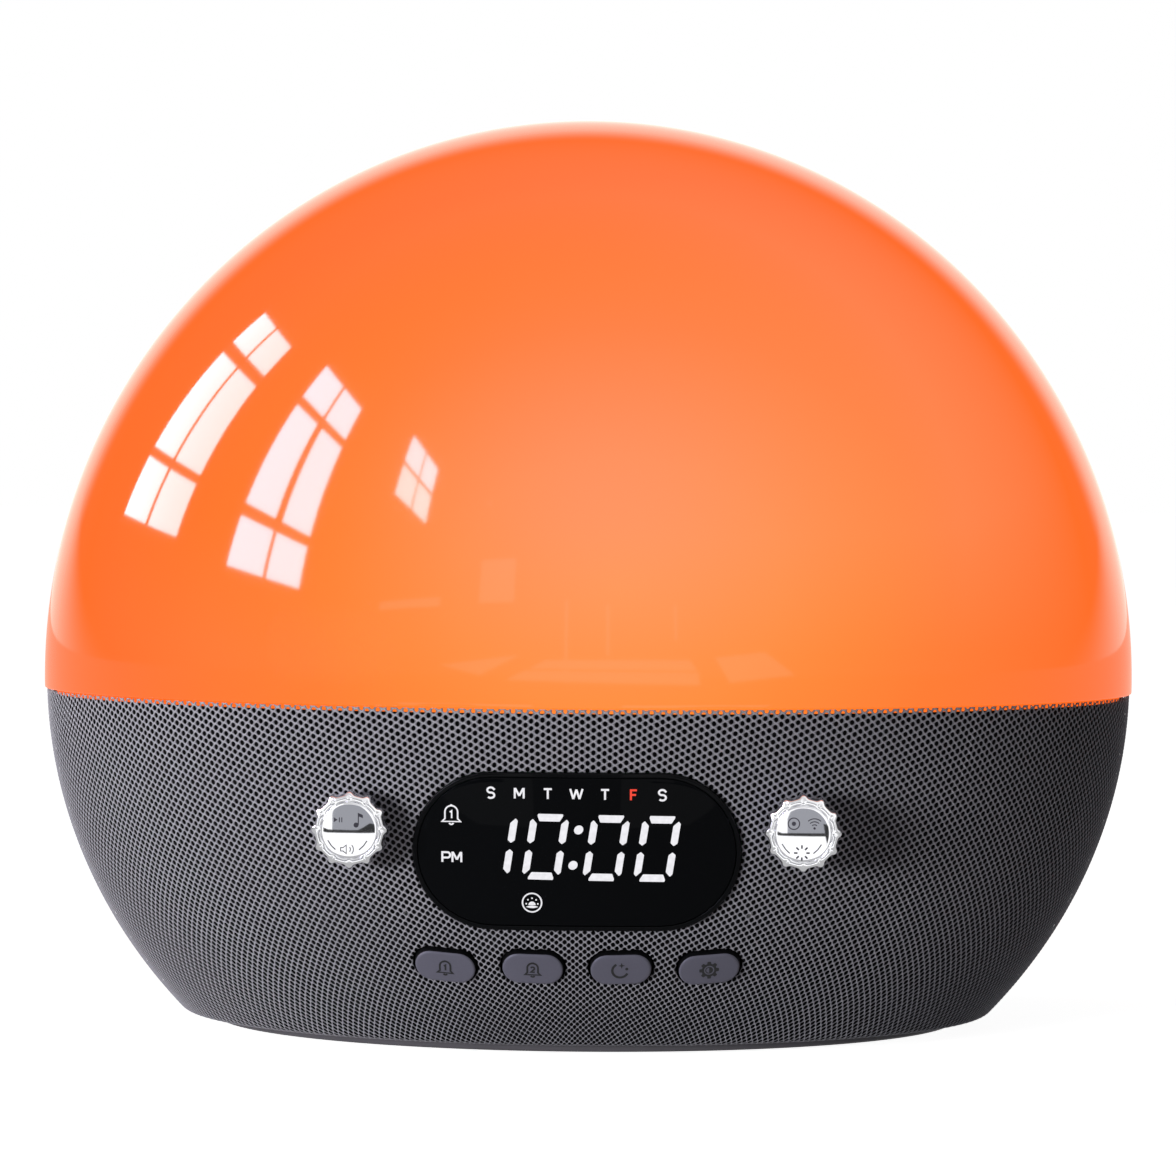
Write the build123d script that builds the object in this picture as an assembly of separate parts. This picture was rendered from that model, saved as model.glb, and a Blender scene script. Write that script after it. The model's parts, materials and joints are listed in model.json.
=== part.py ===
"""Sunrise alarm clock: a glowing dome on a fabric covered base with a display, four keys and two knobs.

Millimetres. The origin is on the table under the clock's middle. +X is the clock's right as
it is looked at, -Y is its front, and +Z is up. The body is oval in plan, so each shell is a
solid of revolution squeezed along Y.
"""

from build123d import *
import os
from math import asin, atan, cos, degrees, pi, sin, sqrt

# Outside of the body
HALF_WIDTH = 100.0
HALF_DEPTH = 72.0
WIDEST_Z = 64.0  # height of the widest section
DOME_RISE = 102.1  # from the widest section to the top
BASE_DROP = 92.3  # the lower ellipse's own half height, of which the underside cuts off the end
UNDERSIDE_Z = 2.0
CORNER_RADIUS = 3.2
SEAM_Z = 60.7  # lower edge of the dome

# Shells, as insets from the outside
DOME_WALL = 2.4
FABRIC_INSET = 0.4
SHELL_INSET = 1.0
SHELL_INSIDE = 3.5
LIP_INSIDE = 2.1  # the thin lip round the shell's mouth
SKIRT_INSET = 2.2
SKIRT_INSIDE = 4.2
SHELL_TOP_Z = 60.6
LEDGE_Z = 56.5  # where the light tray rests inside the lip
TRAY_THICKNESS = 1.5

# Base plate, feet and backup cell
PLATE_BOTTOM_Z = 1.0
PLATE_RIM = (68.2, 49.6)  # half axes
PLATE_PLUG = (45.7, 32.7)
SHELL_FLOOR_HOLE = (46.0, 33.0)
FOOT_RADIUS = 6.0
FOOT_HEIGHT = 2.0
FOOT_SPOTS = [(sx * 40, sy * 24) for sx in (-1, 1) for sy in (-1, 1)]
BASE_SCREW_SPOTS = [(sx * 52, sy * 12) for sx in (-1, 1) for sy in (-1, 1)]
CELL_X = -4.0
CELL_RADIUS = 10.0
CELL_HEIGHT = 3.2
DOOR_SIZE = (40.0, 26.0)
DOOR_X = 2.0
DOOR_THICKNESS = 1.4
DOOR_SCREW_X = 17.0

# Display
DISPLAY_Z = 37.2
DISPLAY_SIZE = (55.6, 27.2)  # outside of the bezel, seen from the front
BEZEL_WIDTH = 0.8
BEZEL_PROUD = 0.35
LENS_PROUD = 0.2
LENS_INSIDE = 1.8
BEZEL_INSIDE = 4.8
BEZEL_FLANGE = 1.5  # how far the bezel's rear flange reaches behind the shell
DISPLAY_BOARD_FRONT = -9.6
DISPLAY_BOSSES = [(sx * 29, sy * 12.5) for sx in (-1, 1) for sy in (-1, 1)]

# Keys
KEY_Z = 16.8
KEY_X = {"alarm_1": -22.5, "alarm_2": -7.5, "sleep": 7.5, "settings": 22.5}
KEY_SIZE = (10.6, 6.0)
KEY_PROUD = 0.5
KEY_GAP = 0.35
KEY_TRAVEL = 0.5
KEY_FLANGE_DEPTH = 7.0
KEY_STEM_DEPTH = 9.0
PLUNGER_RADIUS = 1.6
PLUNGER_HEIGHT = 1.3
SWITCH_HEIGHT = 3.5
KEY_BOARD_DEPTH = 13.3
KEY_BOARD_SCREW_X = 31.5

# Knobs and their encoders
KNOB_X = {"volume": -38.0, "lamp": 38.0}
KNOB_Z = 41.0
KNOB_TEETH = 12
KNOB_TIP_RADIUS = 6.55
KNOB_ROOT_RADIUS = 5.85
KNOB_BACK_Y = -66.8
KNOB_THICKNESS = 5.8
CROWN_BEVEL = 0.7
CROWN_SLOPE = 1.06
HUB_RADIUS = 4.9
HUB_BACK_Y = -61.5
KNOB_HOLE_RADIUS = 5.3
SHAFT_RADIUS = 3.0
SHAFT_PLAY = 0.05
SHAFT_TAIL_DEPTH = 4.2  # behind the encoder's front
PUSH_PLUNGER_HEIGHT = 1.2
ENCODER_FRONT_Y = -55.2
ENCODER_DEPTH = 6.5
ENCODER_SIDE = 12.0
ENCODER_SCREW_RISES = (-9, 9)  # above and below the knob's axis

# Speaker, at the back
SPEAKER_Z = 36.5
SPEAKER_RADIUS = 18.0
SPEAKER_OPENING = 15.0
SPEAKER_PAD_DEPTH = 7.0
SPEAKER_SCREW_RADIUS = 16.6
GASKET_THICKNESS = 0.8
SPEAKER_TOP = SPEAKER_PAD_DEPTH + GASKET_THICKNESS  # depth of the basket's flange
FLANGE_THICKNESS = 1.2
BASKET_DEPTH = 9.0
MAGNET_RADIUS = 11.5
MAGNET_HEIGHT = 6.0

# Power socket and its recess, at the back
PORT_Z = 12.5
PORT_SIZE = (24.0, 12.0)
PORT_FACE_Y = 54.5
SOCKET_BORE_RADIUS = 3.2
SOCKET_BORE_DEPTH = 11.0

# Boards and screws
BOARD = 1.6
MAIN_BOARD_SIZE = (60.0, 44.0)
MAIN_BOARD_Z = 10.0
MAIN_BOARD_SPOTS = [(sx * 26, sy * 18) for sx in (-1, 1) for sy in (-1, 1)]
SOCKET_TOP = MAIN_BOARD_Z + BOARD + 6.1  # just above the wire sockets
LED_BOARD_HALF = (58.0, 40.0)
LED_BOARD_Z = 60.0
LED_SCREW_SPOTS = [(sx * 40, sy * 24) for sx in (-1, 1) for sy in (-1, 1)]
TRAY_SCREW_SPOTS = [(sx * 60, sy * 24) for sx in (-1, 1) for sy in (-1, 1)]
THREAD_PLAY = 0.02
FAR = 400.0  # larger than the clock


def half_width_at(z, inset=0.0):
    """Half width of the outside, or of a surface inset from it, below the widest section."""
    drop = BASE_DROP - inset
    return (HALF_WIDTH - inset) * sqrt(1 - ((WIDEST_Z - z) / drop) ** 2)


def depth_at(x, z, inset=0.0):
    """How far in front of, or behind, the middle the surface stands at x and z."""
    squeeze = (HALF_DEPTH - inset) / (HALF_WIDTH - inset)
    return squeeze * sqrt(half_width_at(z, inset) ** 2 - x * x)


def form(inset):
    """The solid inside the outside surface, moved in by inset."""
    width, rise, drop = HALF_WIDTH - inset, DOME_RISE - inset, BASE_DROP - inset
    floor_z = UNDERSIDE_Z + inset
    sweep = degrees(asin((WIDEST_Z - floor_z) / drop))
    crown = EllipticalCenterArc((0, WIDEST_Z), width, rise, start_angle=0, arc_size=90)
    flank = EllipticalCenterArc((0, WIDEST_Z), width, drop, start_angle=0, arc_size=-sweep)
    corner = flank @ 1
    underside = Line(corner, (0, floor_z))
    axis = Line((0, floor_z), (0, WIDEST_Z + rise))
    half_section = make_face([crown, flank, underside, axis])
    sharp = half_section.vertices().sort_by_distance(corner)[0]
    half_section = fillet(sharp, max(CORNER_RADIUS - inset / 2, 0.6))
    turned = revolve(Plane.XZ * half_section, Axis.Z)
    return scale(turned, (1, (HALF_DEPTH - inset) / width, 1))


def slab(low, high):
    """Everything between two heights."""
    return Pos(0, 0, (low + high) / 2) * Box(FAR, FAR, high - low)


def surface_plane(x, z, front):
    """A plane on the outside at the front or back, facing out and level along X."""
    slope = atan(
        HALF_DEPTH * HALF_WIDTH * (WIDEST_Z - z)
        / (BASE_DROP**2 * sqrt(half_width_at(z) ** 2 - x * x))
    )
    side = -1 if front else 1
    return Plane(
        origin=(0, side * depth_at(x, z), z),
        x_dir=(-side, 0, 0),
        z_dir=(0, side * cos(slope), -sin(slope)),
    )


DISPLAY_PLANE = surface_plane(0, DISPLAY_Z, front=True)
KEY_PLANE = surface_plane(KEY_X["sleep"], KEY_Z, front=True)
SPEAKER_PLANE = surface_plane(0, SPEAKER_Z, front=False)


def key_spot(x):
    """A key's middle on the key plane, lowered so that all four stand level on the curved wall."""
    lean = asin(-KEY_PLANE.z_dir.Z)
    setback = depth_at(KEY_X["sleep"], KEY_Z) - depth_at(x, KEY_Z)
    return (x, -setback * sin(lean))


def pill(size, grow=0.0):
    return SlotOverall(size[0] + 2 * grow, size[1] + 2 * grow)


def oval(half_axes):
    return Ellipse(half_axes[0], half_axes[1])


def prism(sketch, low, high, plane=Plane.XY):
    """A sketch on a plane, pulled between two distances from it."""
    return plane * (Pos(0, 0, low) * extrude(sketch, high - low))


def disc(radius, low, high, spot=(0, 0), plane=Plane.XY):
    return prism(Pos(*spot) * Circle(radius), low, high, plane)


def pilot(radius, low, high, spot, plane=Plane.XY):
    """A hole for a screw's thread, with a little play."""
    return disc(radius + THREAD_PLAY, low, high, spot, plane)


def along_y(x, z):
    """A plane on the XZ plane that faces the front, so that distances on it are -Y."""
    return Plane(origin=(x, 0, z), x_dir=(1, 0, 0), z_dir=(0, -1, 0))


def joined(shapes):
    """Shapes that touch or overlap, as one solid."""
    whole = shapes[0]
    for shape in shapes[1:]:
        whole = whole + shape
    return whole


def group(shapes):
    """Separate solids kept in one node."""
    return Compound(children=[solid for shape in shapes for solid in shape.solids()])


def pan_screw(tip, seat, spot, plane=Plane.XY, thread=1.2, head=2.5, head_height=1.2):
    """A screw whose shank runs from tip to seat along the plane's normal, with its head beyond."""
    away = 1 if seat > tip else -1
    top = seat + away * head_height
    shank = disc(thread, min(tip, seat), max(tip, seat), spot, plane)
    cap = disc(head, min(seat, top), max(seat, top), spot, plane)
    slot_depth = head_height / 2
    slot_low = min(top, top - away * slot_depth)
    slot = Pos(*spot) * Rectangle(head * 1.5, 0.6)
    return shank + cap - prism(slot, slot_low, slot_low + slot_depth, plane)


# ---- Dome and light ----


def make_diffuser_dome():
    wall = (form(0) - form(DOME_WALL)) & slab(SEAM_Z, FAR)
    skirt_low = LEDGE_Z + TRAY_THICKNESS
    skirt = (form(SKIRT_INSET) - form(SKIRT_INSIDE)) & slab(skirt_low, SEAM_Z + 2)
    return wall + skirt


def make_light_tray():
    top = LEDGE_Z + TRAY_THICKNESS
    tray = form(SKIRT_INSET + 0.1) & slab(LEDGE_Z, top)
    standoffs = [disc(3, top - 0.5, LED_BOARD_Z, spot) for spot in LED_SCREW_SPOTS]
    tray = joined([tray] + standoffs)
    for spot in LED_SCREW_SPOTS:
        tray = tray - pilot(1.0, LEDGE_Z, FAR, spot)
    for spot in TRAY_SCREW_SPOTS:
        tray = tray - disc(1.5, 0, FAR, spot)
    return tray - prism(Pos(-16, 19) * Rectangle(12, 5), 0, FAR)


def make_tray_screws():
    top = LEDGE_Z + TRAY_THICKNESS
    return group([pan_screw(top - 9, top, spot) for spot in TRAY_SCREW_SPOTS])


def make_led_board():
    board = prism(oval(LED_BOARD_HALF), LED_BOARD_Z, LED_BOARD_Z + BOARD)
    for spot in LED_SCREW_SPOTS:
        board = board - disc(1.3, 0, FAR, spot)
    return board


def make_led_chips():
    base = LED_BOARD_Z + BOARD
    chips = []
    for half_x, half_y, count in ((46, 30, 14), (22, 14, 6)):
        for step in range(count):
            turn = 2 * pi * step / count
            spot = (half_x * cos(turn), half_y * sin(turn))
            chips.append(prism(Pos(*spot) * Rectangle(3.5, 3.5), base, base + 1.0))
    return group(chips)


def make_led_screws():
    seat = LED_BOARD_Z + BOARD
    return group([pan_screw(seat - 4, seat, spot, thread=1.0, head=2.0) for spot in LED_SCREW_SPOTS])


# ---- Lower body ----


def shell_bosses():
    """Posts and pads inside the shell that screws go into, kept inside its wall."""
    bosses = [disc(4, 4, LEDGE_Z, spot) for spot in TRAY_SCREW_SPOTS]
    bosses += [disc(3.5, 4, 14, spot) for spot in BASE_SCREW_SPOTS]
    bosses += [disc(2.5, DISPLAY_BOARD_FRONT, 0, spot, DISPLAY_PLANE) for spot in DISPLAY_BOSSES]
    for x in KEY_X.values():
        collar = pill(KEY_SIZE, KEY_GAP + 1.0)
        bosses.append(prism(Pos(*key_spot(x)) * collar, -KEY_FLANGE_DEPTH + 0.3, 0, KEY_PLANE))
    for side in (-1, 1):
        spot = (side * KEY_BOARD_SCREW_X, 0)
        bosses.append(disc(2.3, -KEY_BOARD_DEPTH, 0, spot, KEY_PLANE))
    board_front = -(ENCODER_FRONT_Y + ENCODER_DEPTH)
    for x in KNOB_X.values():
        for rise in ENCODER_SCREW_RISES:
            bosses.append(disc(2.4, board_front, 70, (0, rise), along_y(x, KNOB_Z)))
    pad = disc(SPEAKER_RADIUS + 0.3, -SPEAKER_PAD_DEPTH, 0, plane=SPEAKER_PLANE)
    bosses.append(pad - disc(SPEAKER_OPENING, -FAR, FAR, plane=SPEAKER_PLANE))
    return bosses


def front_openings():
    """What the display, keys, knobs and port panel need cut out of the shell and the sleeve."""
    cuts = [prism(pill(DISPLAY_SIZE, 0.1), 40, FAR, along_y(0, DISPLAY_Z))]
    cuts.append(prism(pill(PORT_SIZE, 0.1), -FAR, -40, along_y(0, PORT_Z)))
    for x in KEY_X.values():
        cuts.append(prism(Pos(*key_spot(x)) * pill(KEY_SIZE, KEY_GAP), -10, 6, KEY_PLANE))
    for x in KNOB_X.values():
        cuts.append(disc(KNOB_HOLE_RADIUS, 50, 90, plane=along_y(x, KNOB_Z)))
    return cuts


def louvres():
    """Slots through the wall in front of the speaker, shorter towards its top and bottom."""
    slots = []
    for row in (-2, -1, 0, 1, 2):
        length = 2 * sqrt(14**2 - (row * 5) ** 2)
        slot = Pos(0, row * 5) * SlotOverall(length, 2.6)
        slots.append(prism(slot, -SPEAKER_PAD_DEPTH, 6, SPEAKER_PLANE))
    return slots


def pilot_holes():
    """Holes that the screws bite into, in the shell's bosses."""
    holes = [pilot(1.2, LEDGE_Z - 12, LEDGE_Z + 1, spot) for spot in TRAY_SCREW_SPOTS]
    holes += [pilot(1.2, 0, 12, spot) for spot in BASE_SCREW_SPOTS]
    holes += [pilot(0.9, -11, -5, spot, DISPLAY_PLANE) for spot in DISPLAY_BOSSES]
    for side in (-1, 1):
        spot = (side * KEY_BOARD_SCREW_X, 0)
        holes.append(pilot(0.9, -KEY_BOARD_DEPTH - 1, -KEY_BOARD_DEPTH + 5, spot, KEY_PLANE))
    board_front = -(ENCODER_FRONT_Y + ENCODER_DEPTH)
    for x in KNOB_X.values():
        for rise in ENCODER_SCREW_RISES:
            plane = along_y(x, KNOB_Z)
            holes.append(pilot(1.0, board_front - 1, board_front + 6, (0, rise), plane))
    pad = -SPEAKER_PAD_DEPTH
    holes += [pilot(0.75, pad - 1, pad + 3, spot, SPEAKER_PLANE) for spot in speaker_screw_spots()]
    return holes


def bezel_clearance():
    """Room for the bezel's rear flange, where it passes the key collars."""
    outline = prism(pill(DISPLAY_SIZE, BEZEL_FLANGE + 0.1), 30, FAR, along_y(0, DISPLAY_Z))
    return outline & (form(SHELL_INSIDE) - form(BEZEL_INSIDE + 0.1))


def make_base_shell():
    wall = (form(SHELL_INSET) - form(SHELL_INSIDE)) & slab(0, SHELL_TOP_Z)
    wall = wall - (form(LIP_INSIDE) & slab(LEDGE_Z, FAR))
    keep_in = form(SHELL_INSET + 1.0)
    for boss in shell_bosses():
        wall = wall + (boss & keep_in)
    wall = wall - prism(oval(SHELL_FLOOR_HOLE), 0, 7) - bezel_clearance()
    for cut in front_openings() + louvres() + pilot_holes():
        wall = wall - cut
    return wall


def make_fabric_sleeve():
    """The mesh over the shell, folded in under it as far as the base plate."""
    sleeve = (form(FABRIC_INSET) - form(SHELL_INSET)) & slab(0, SHELL_TOP_Z - 0.1)
    grown_rim = (PLATE_RIM[0] + 0.3, PLATE_RIM[1] + 0.3)
    sleeve = sleeve - prism(oval(grown_rim), 0, 7)
    for cut in front_openings():
        sleeve = sleeve - cut
    return sleeve


def make_base_plate():
    shell_bottom = UNDERSIDE_Z + SHELL_INSET
    floor_top = UNDERSIDE_Z + SHELL_INSIDE
    plate = prism(oval(PLATE_RIM), PLATE_BOTTOM_Z, shell_bottom)
    plate = chamfer(plate.edges().group_by(Axis.Z)[0], 0.3)
    plate = plate + prism(oval(PLATE_PLUG), shell_bottom - 0.5, floor_top)
    for spot in MAIN_BOARD_SPOTS:
        plate = plate + disc(2.5, floor_top - 0.5, MAIN_BOARD_Z, spot)
    for spot in MAIN_BOARD_SPOTS:
        plate = plate - pilot(0.9, 4, MAIN_BOARD_Z + 1, spot)
    for spot in FOOT_SPOTS:
        plate = plate - disc(FOOT_RADIUS + 0.1, 0, FOOT_HEIGHT, spot)
    for spot in BASE_SCREW_SPOTS:
        plate = plate - disc(2.8, 0, PLATE_BOTTOM_Z + 1.3, spot) - disc(1.4, 0, 4, spot)
    door_well = RectangleRounded(DOOR_SIZE[0] + 0.2, DOOR_SIZE[1] + 0.2, 4)
    plate = plate - prism(Pos(DOOR_X) * door_well, 0, PLATE_BOTTOM_Z + DOOR_THICKNESS + 0.1)
    plate = plate - disc(CELL_RADIUS + 0.4, 0, 8, (CELL_X, 0))
    return plate - pilot(1.0, 0, 5, (DOOR_SCREW_X, 0))


def make_rubber_feet():
    foot = disc(FOOT_RADIUS, 0, FOOT_HEIGHT)
    foot = fillet(foot.edges().group_by(Axis.Z)[0], 0.5)
    return group([Pos(*spot) * foot for spot in FOOT_SPOTS])


def make_base_plate_screws():
    seat = PLATE_BOTTOM_Z + 1.3
    return group([pan_screw(11, seat, spot, head=2.6, head_height=1.1) for spot in BASE_SCREW_SPOTS])


def make_battery_door():
    outline = Pos(DOOR_X) * RectangleRounded(DOOR_SIZE[0], DOOR_SIZE[1], 4)
    door = prism(outline, PLATE_BOTTOM_Z, PLATE_BOTTOM_Z + DOOR_THICKNESS)
    door = door - disc(2.4, 0, PLATE_BOTTOM_Z + 0.8, (DOOR_SCREW_X, 0))
    return door - disc(1.2, 0, 5, (DOOR_SCREW_X, 0))


def make_battery_door_screw():
    spot = (DOOR_SCREW_X, 0)
    return pan_screw(4.6, PLATE_BOTTOM_Z + 0.8, spot, thread=1.0, head=2.2, head_height=0.7)


def make_coin_cell():
    low = PLATE_BOTTOM_Z + DOOR_THICKNESS + 0.2
    cell = disc(CELL_RADIUS, low, low + CELL_HEIGHT, (CELL_X, 0))
    return chamfer(cell.edges().group_by(Axis.Z)[0], 0.4)


def make_cell_holder():
    low = UNDERSIDE_Z + SHELL_INSIDE
    cup = disc(13, low, low + 2.2, (CELL_X, 0))
    return cup - disc(CELL_RADIUS + 0.4, low - 1, low + 0.7, (CELL_X, 0))


# ---- Main board ----


def make_main_board():
    board = prism(RectangleRounded(*MAIN_BOARD_SIZE, 2), MAIN_BOARD_Z, MAIN_BOARD_Z + BOARD)
    for spot in MAIN_BOARD_SPOTS:
        board = board - disc(1.2, 0, FAR, spot)
    return board


def on_main_board(x, y, width, length, height):
    top = MAIN_BOARD_Z + BOARD
    return prism(Pos(x, y) * Rectangle(width, length), top, top + height)


def make_board_chips():
    return group(
        [
            on_main_board(-19, 6, 14, 16, 2.4),
            on_main_board(2, -4, 12, 12, 1.4),
            on_main_board(18, 8, 6, 6, 1.2),
            on_main_board(13, -4, 5, 6, 1.5),
        ]
    )


def make_board_capacitors():
    top = MAIN_BOARD_Z + BOARD
    return group([disc(3.15, top, top + 8, spot) for spot in ((21, -6), (21, -13.5), (13, -13))])


def make_board_sockets():
    """Wire sockets: display in front, light on the left, power in the middle, speaker on the right."""
    return group(
        [
            on_main_board(0, -19, 14, 5, 6),
            on_main_board(-16, 19, 8, 5, 6),
            on_main_board(0, 17.5, 8, 5, 4),
            on_main_board(16, 19, 6, 5, 6),
        ]
    )


def make_main_board_screws():
    seat = MAIN_BOARD_Z + BOARD
    return group([pan_screw(seat - 6, seat, spot, thread=0.9, head=2.0) for spot in MAIN_BOARD_SPOTS])


# ---- Display ----


def make_display_bezel():
    front_half = prism(Rectangle(FAR, FAR), 30, FAR, along_y(0, DISPLAY_Z))
    outer = prism(pill(DISPLAY_SIZE), 30, FAR, along_y(0, DISPLAY_Z))
    inner = prism(pill(DISPLAY_SIZE, -BEZEL_WIDTH), 30, FAR, along_y(0, DISPLAY_Z))
    frame = outer & (form(-BEZEL_PROUD) - form(BEZEL_INSIDE))
    rear_flange = prism(pill(DISPLAY_SIZE, BEZEL_FLANGE), 30, FAR, along_y(0, DISPLAY_Z))
    rear_flange = rear_flange & (form(SHELL_INSIDE + 0.1) - form(BEZEL_INSIDE))
    return ((frame + rear_flange) & front_half) - inner


def make_display_lens():
    window = prism(pill(DISPLAY_SIZE, -BEZEL_WIDTH - 0.05), 30, FAR, along_y(0, DISPLAY_Z))
    return window & (form(-LENS_PROUD) - form(LENS_INSIDE))


def make_display_block():
    """The moulded block whose cavities make the digits' bars."""
    block = prism(Pos(0, -1) * RectangleRounded(48, 19, 8), DISPLAY_BOARD_FRONT, -4.9, DISPLAY_PLANE)
    pocket = prism(Pos(0, -1) * RectangleRounded(46, 17, 7), -5.6, -4, DISPLAY_PLANE)
    return block - pocket


def make_display_board():
    rear = DISPLAY_BOARD_FRONT - BOARD
    board = prism(RectangleRounded(66, 31, 3), rear, DISPLAY_BOARD_FRONT, DISPLAY_PLANE)
    for spot in DISPLAY_BOSSES:
        board = board - disc(1.2, -FAR, FAR, spot, DISPLAY_PLANE)
    return board


def make_display_socket():
    rear = DISPLAY_BOARD_FRONT - BOARD
    return prism(Pos(0, 2) * Rectangle(14, 5), rear - 4, rear, DISPLAY_PLANE)


def make_display_screws():
    rear = DISPLAY_BOARD_FRONT - BOARD
    spots = DISPLAY_BOSSES
    return group([pan_screw(rear + 5, rear, spot, DISPLAY_PLANE, 0.9, 2.0, 1.1) for spot in spots])


# ---- Keys ----


def make_key(x):
    """A cap, the flange that holds it in behind the wall, and a stem on the switch."""
    spot = Pos(*key_spot(x))
    flange_top = -KEY_FLANGE_DEPTH
    cap = prism(spot * pill(KEY_SIZE), flange_top - 0.5, 6, KEY_PLANE) & form(-KEY_PROUD)
    flange = prism(spot * pill(KEY_SIZE, 0.95), flange_top - 1.0, flange_top, KEY_PLANE)
    stem = disc(1.5, -KEY_STEM_DEPTH, flange_top - 0.5, key_spot(x), KEY_PLANE)
    return joined([cap, flange, stem])


def make_plunger(x):
    low = -KEY_STEM_DEPTH - PLUNGER_HEIGHT
    return disc(PLUNGER_RADIUS, low, -KEY_STEM_DEPTH, key_spot(x), KEY_PLANE)


def make_switch_bodies():
    """Blocks on the board, each with a well that its plunger sinks into by the key's travel."""
    front = -KEY_BOARD_DEPTH + SWITCH_HEIGHT
    well_floor = -KEY_STEM_DEPTH - PLUNGER_HEIGHT - KEY_TRAVEL - 0.3
    bodies = []
    for x in KEY_X.values():
        spot = key_spot(x)
        box = prism(Pos(*spot) * Rectangle(6, 6), -KEY_BOARD_DEPTH, front, KEY_PLANE)
        bodies.append(box - disc(PLUNGER_RADIUS + SHAFT_PLAY, well_floor, FAR, spot, KEY_PLANE))
    return group(bodies)


def make_key_board():
    rear = -KEY_BOARD_DEPTH - BOARD
    board = prism(RectangleRounded(68, 11, 2), rear, -KEY_BOARD_DEPTH, KEY_PLANE)
    for side in (-1, 1):
        board = board - disc(1.2, -FAR, FAR, (side * KEY_BOARD_SCREW_X, 0), KEY_PLANE)
    return board


def make_key_board_screws():
    seat = -KEY_BOARD_DEPTH - BOARD
    spots = [(side * KEY_BOARD_SCREW_X, 0) for side in (-1, 1)]
    return group([pan_screw(seat + 5, seat, spot, KEY_PLANE, 0.9, 2.0, 1.1) for spot in spots])


# ---- Knobs ----


def toothed_outline():
    """A round rim with small rounded teeth."""
    bump = (KNOB_TIP_RADIUS - KNOB_ROOT_RADIUS) + 0.25
    outline = Circle(KNOB_ROOT_RADIUS)
    for place in PolarLocations(KNOB_TIP_RADIUS - bump, KNOB_TEETH):
        outline = outline + place * Circle(bump)
    return Rot(0, 0, 90) * outline


def crown_cone(plane, front):
    """A cone that bevels the tips of the teeth at the knob's front edge."""
    height = 8.8
    front_radius = KNOB_TIP_RADIUS - CROWN_BEVEL
    seat = (Align.CENTER, Align.CENTER, Align.MIN)
    cone = Cone(front_radius + height * CROWN_SLOPE, front_radius, height, align=seat)
    return plane * (Pos(0, 0, front - height) * cone)


def make_knob(x):
    """The toothed rim, with the hub behind it and a shallow well for the face disc."""
    plane = along_y(x, KNOB_Z)
    back, front = -KNOB_BACK_Y, -KNOB_BACK_Y + KNOB_THICKNESS
    rim = prism(toothed_outline(), back, front, plane) & crown_cone(plane, front)
    hub = disc(HUB_RADIUS, -HUB_BACK_Y, back + 0.5, plane=plane)
    well = disc(KNOB_ROOT_RADIUS - 0.8, front - 0.6, front + 1, plane=plane)
    bore = disc(SHAFT_RADIUS + THREAD_PLAY, -HUB_BACK_Y - 1, back + 4, plane=plane)
    return rim + hub - well - bore


def make_knob_face(x):
    """A slightly domed disc let into the knob's front."""
    plane = along_y(x, KNOB_Z)
    front = -KNOB_BACK_Y + KNOB_THICKNESS
    radius, rise = KNOB_ROOT_RADIUS - 0.85, 0.35
    ball = (radius**2 + rise**2) / (2 * rise)
    cylinder = disc(radius, front - 0.6, front + 2, plane=plane)
    return cylinder & (plane * (Pos(0, 0, front + rise - ball) * Sphere(ball)))


def make_shaft(x):
    plane = along_y(x, KNOB_Z)
    front = -ENCODER_FRONT_Y
    rod = disc(SHAFT_RADIUS, front - SHAFT_TAIL_DEPTH, -KNOB_BACK_Y + 3.8, plane=plane)
    collar = disc(SHAFT_RADIUS + 0.8, front - 2.6, front - 1.6, plane=plane)
    return rod + collar


def make_push_plunger(x):
    tail = -ENCODER_FRONT_Y - SHAFT_TAIL_DEPTH
    return disc(2.0, tail - PUSH_PLUNGER_HEIGHT, tail, plane=along_y(x, KNOB_Z))


def make_encoder_bodies():
    bodies = []
    for x in KNOB_X.values():
        plane = along_y(x, KNOB_Z)
        front = -ENCODER_FRONT_Y
        box = prism(Rectangle(ENCODER_SIDE, ENCODER_SIDE), front - ENCODER_DEPTH, front, plane)
        bushing = disc(3.5, front - 0.5, front + 5, plane=plane)
        chamber = disc(4.0, front - ENCODER_DEPTH + 0.3, front - 1.0, plane=plane)
        bore = disc(SHAFT_RADIUS + SHAFT_PLAY, front - 2, front + 6, plane=plane)
        bodies.append(box + bushing - chamber - bore)
    return group(bodies)


def make_encoder_boards():
    boards = []
    front = -ENCODER_FRONT_Y - ENCODER_DEPTH
    for x in KNOB_X.values():
        board = prism(RectangleRounded(15, 24, 1.5), front - BOARD, front, along_y(x, KNOB_Z))
        for rise in ENCODER_SCREW_RISES:
            board = board - disc(1.3, 0, FAR, (0, rise), along_y(x, KNOB_Z))
        boards.append(board)
    return group(boards)


def make_encoder_screws():
    seat = -ENCODER_FRONT_Y - ENCODER_DEPTH - BOARD
    return group(
        [
            pan_screw(seat + 6, seat, (0, rise), along_y(x, KNOB_Z), 1.0, 2.1, 1.1)
            for x in KNOB_X.values()
            for rise in ENCODER_SCREW_RISES
        ]
    )


# ---- Speaker ----


def speaker_screw_spots():
    turns = [pi / 4 + step * pi / 2 for step in range(4)]
    return [(SPEAKER_SCREW_RADIUS * cos(turn), SPEAKER_SCREW_RADIUS * sin(turn)) for turn in turns]


def speaker_turned(points):
    """A ring or cup turned about the speaker's axis, from points of radius and depth."""
    section = make_face(Polyline([(radius, -depth) for radius, depth in points], close=True))
    return SPEAKER_PLANE * revolve(Plane.XZ * section, Axis.Z)


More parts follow.
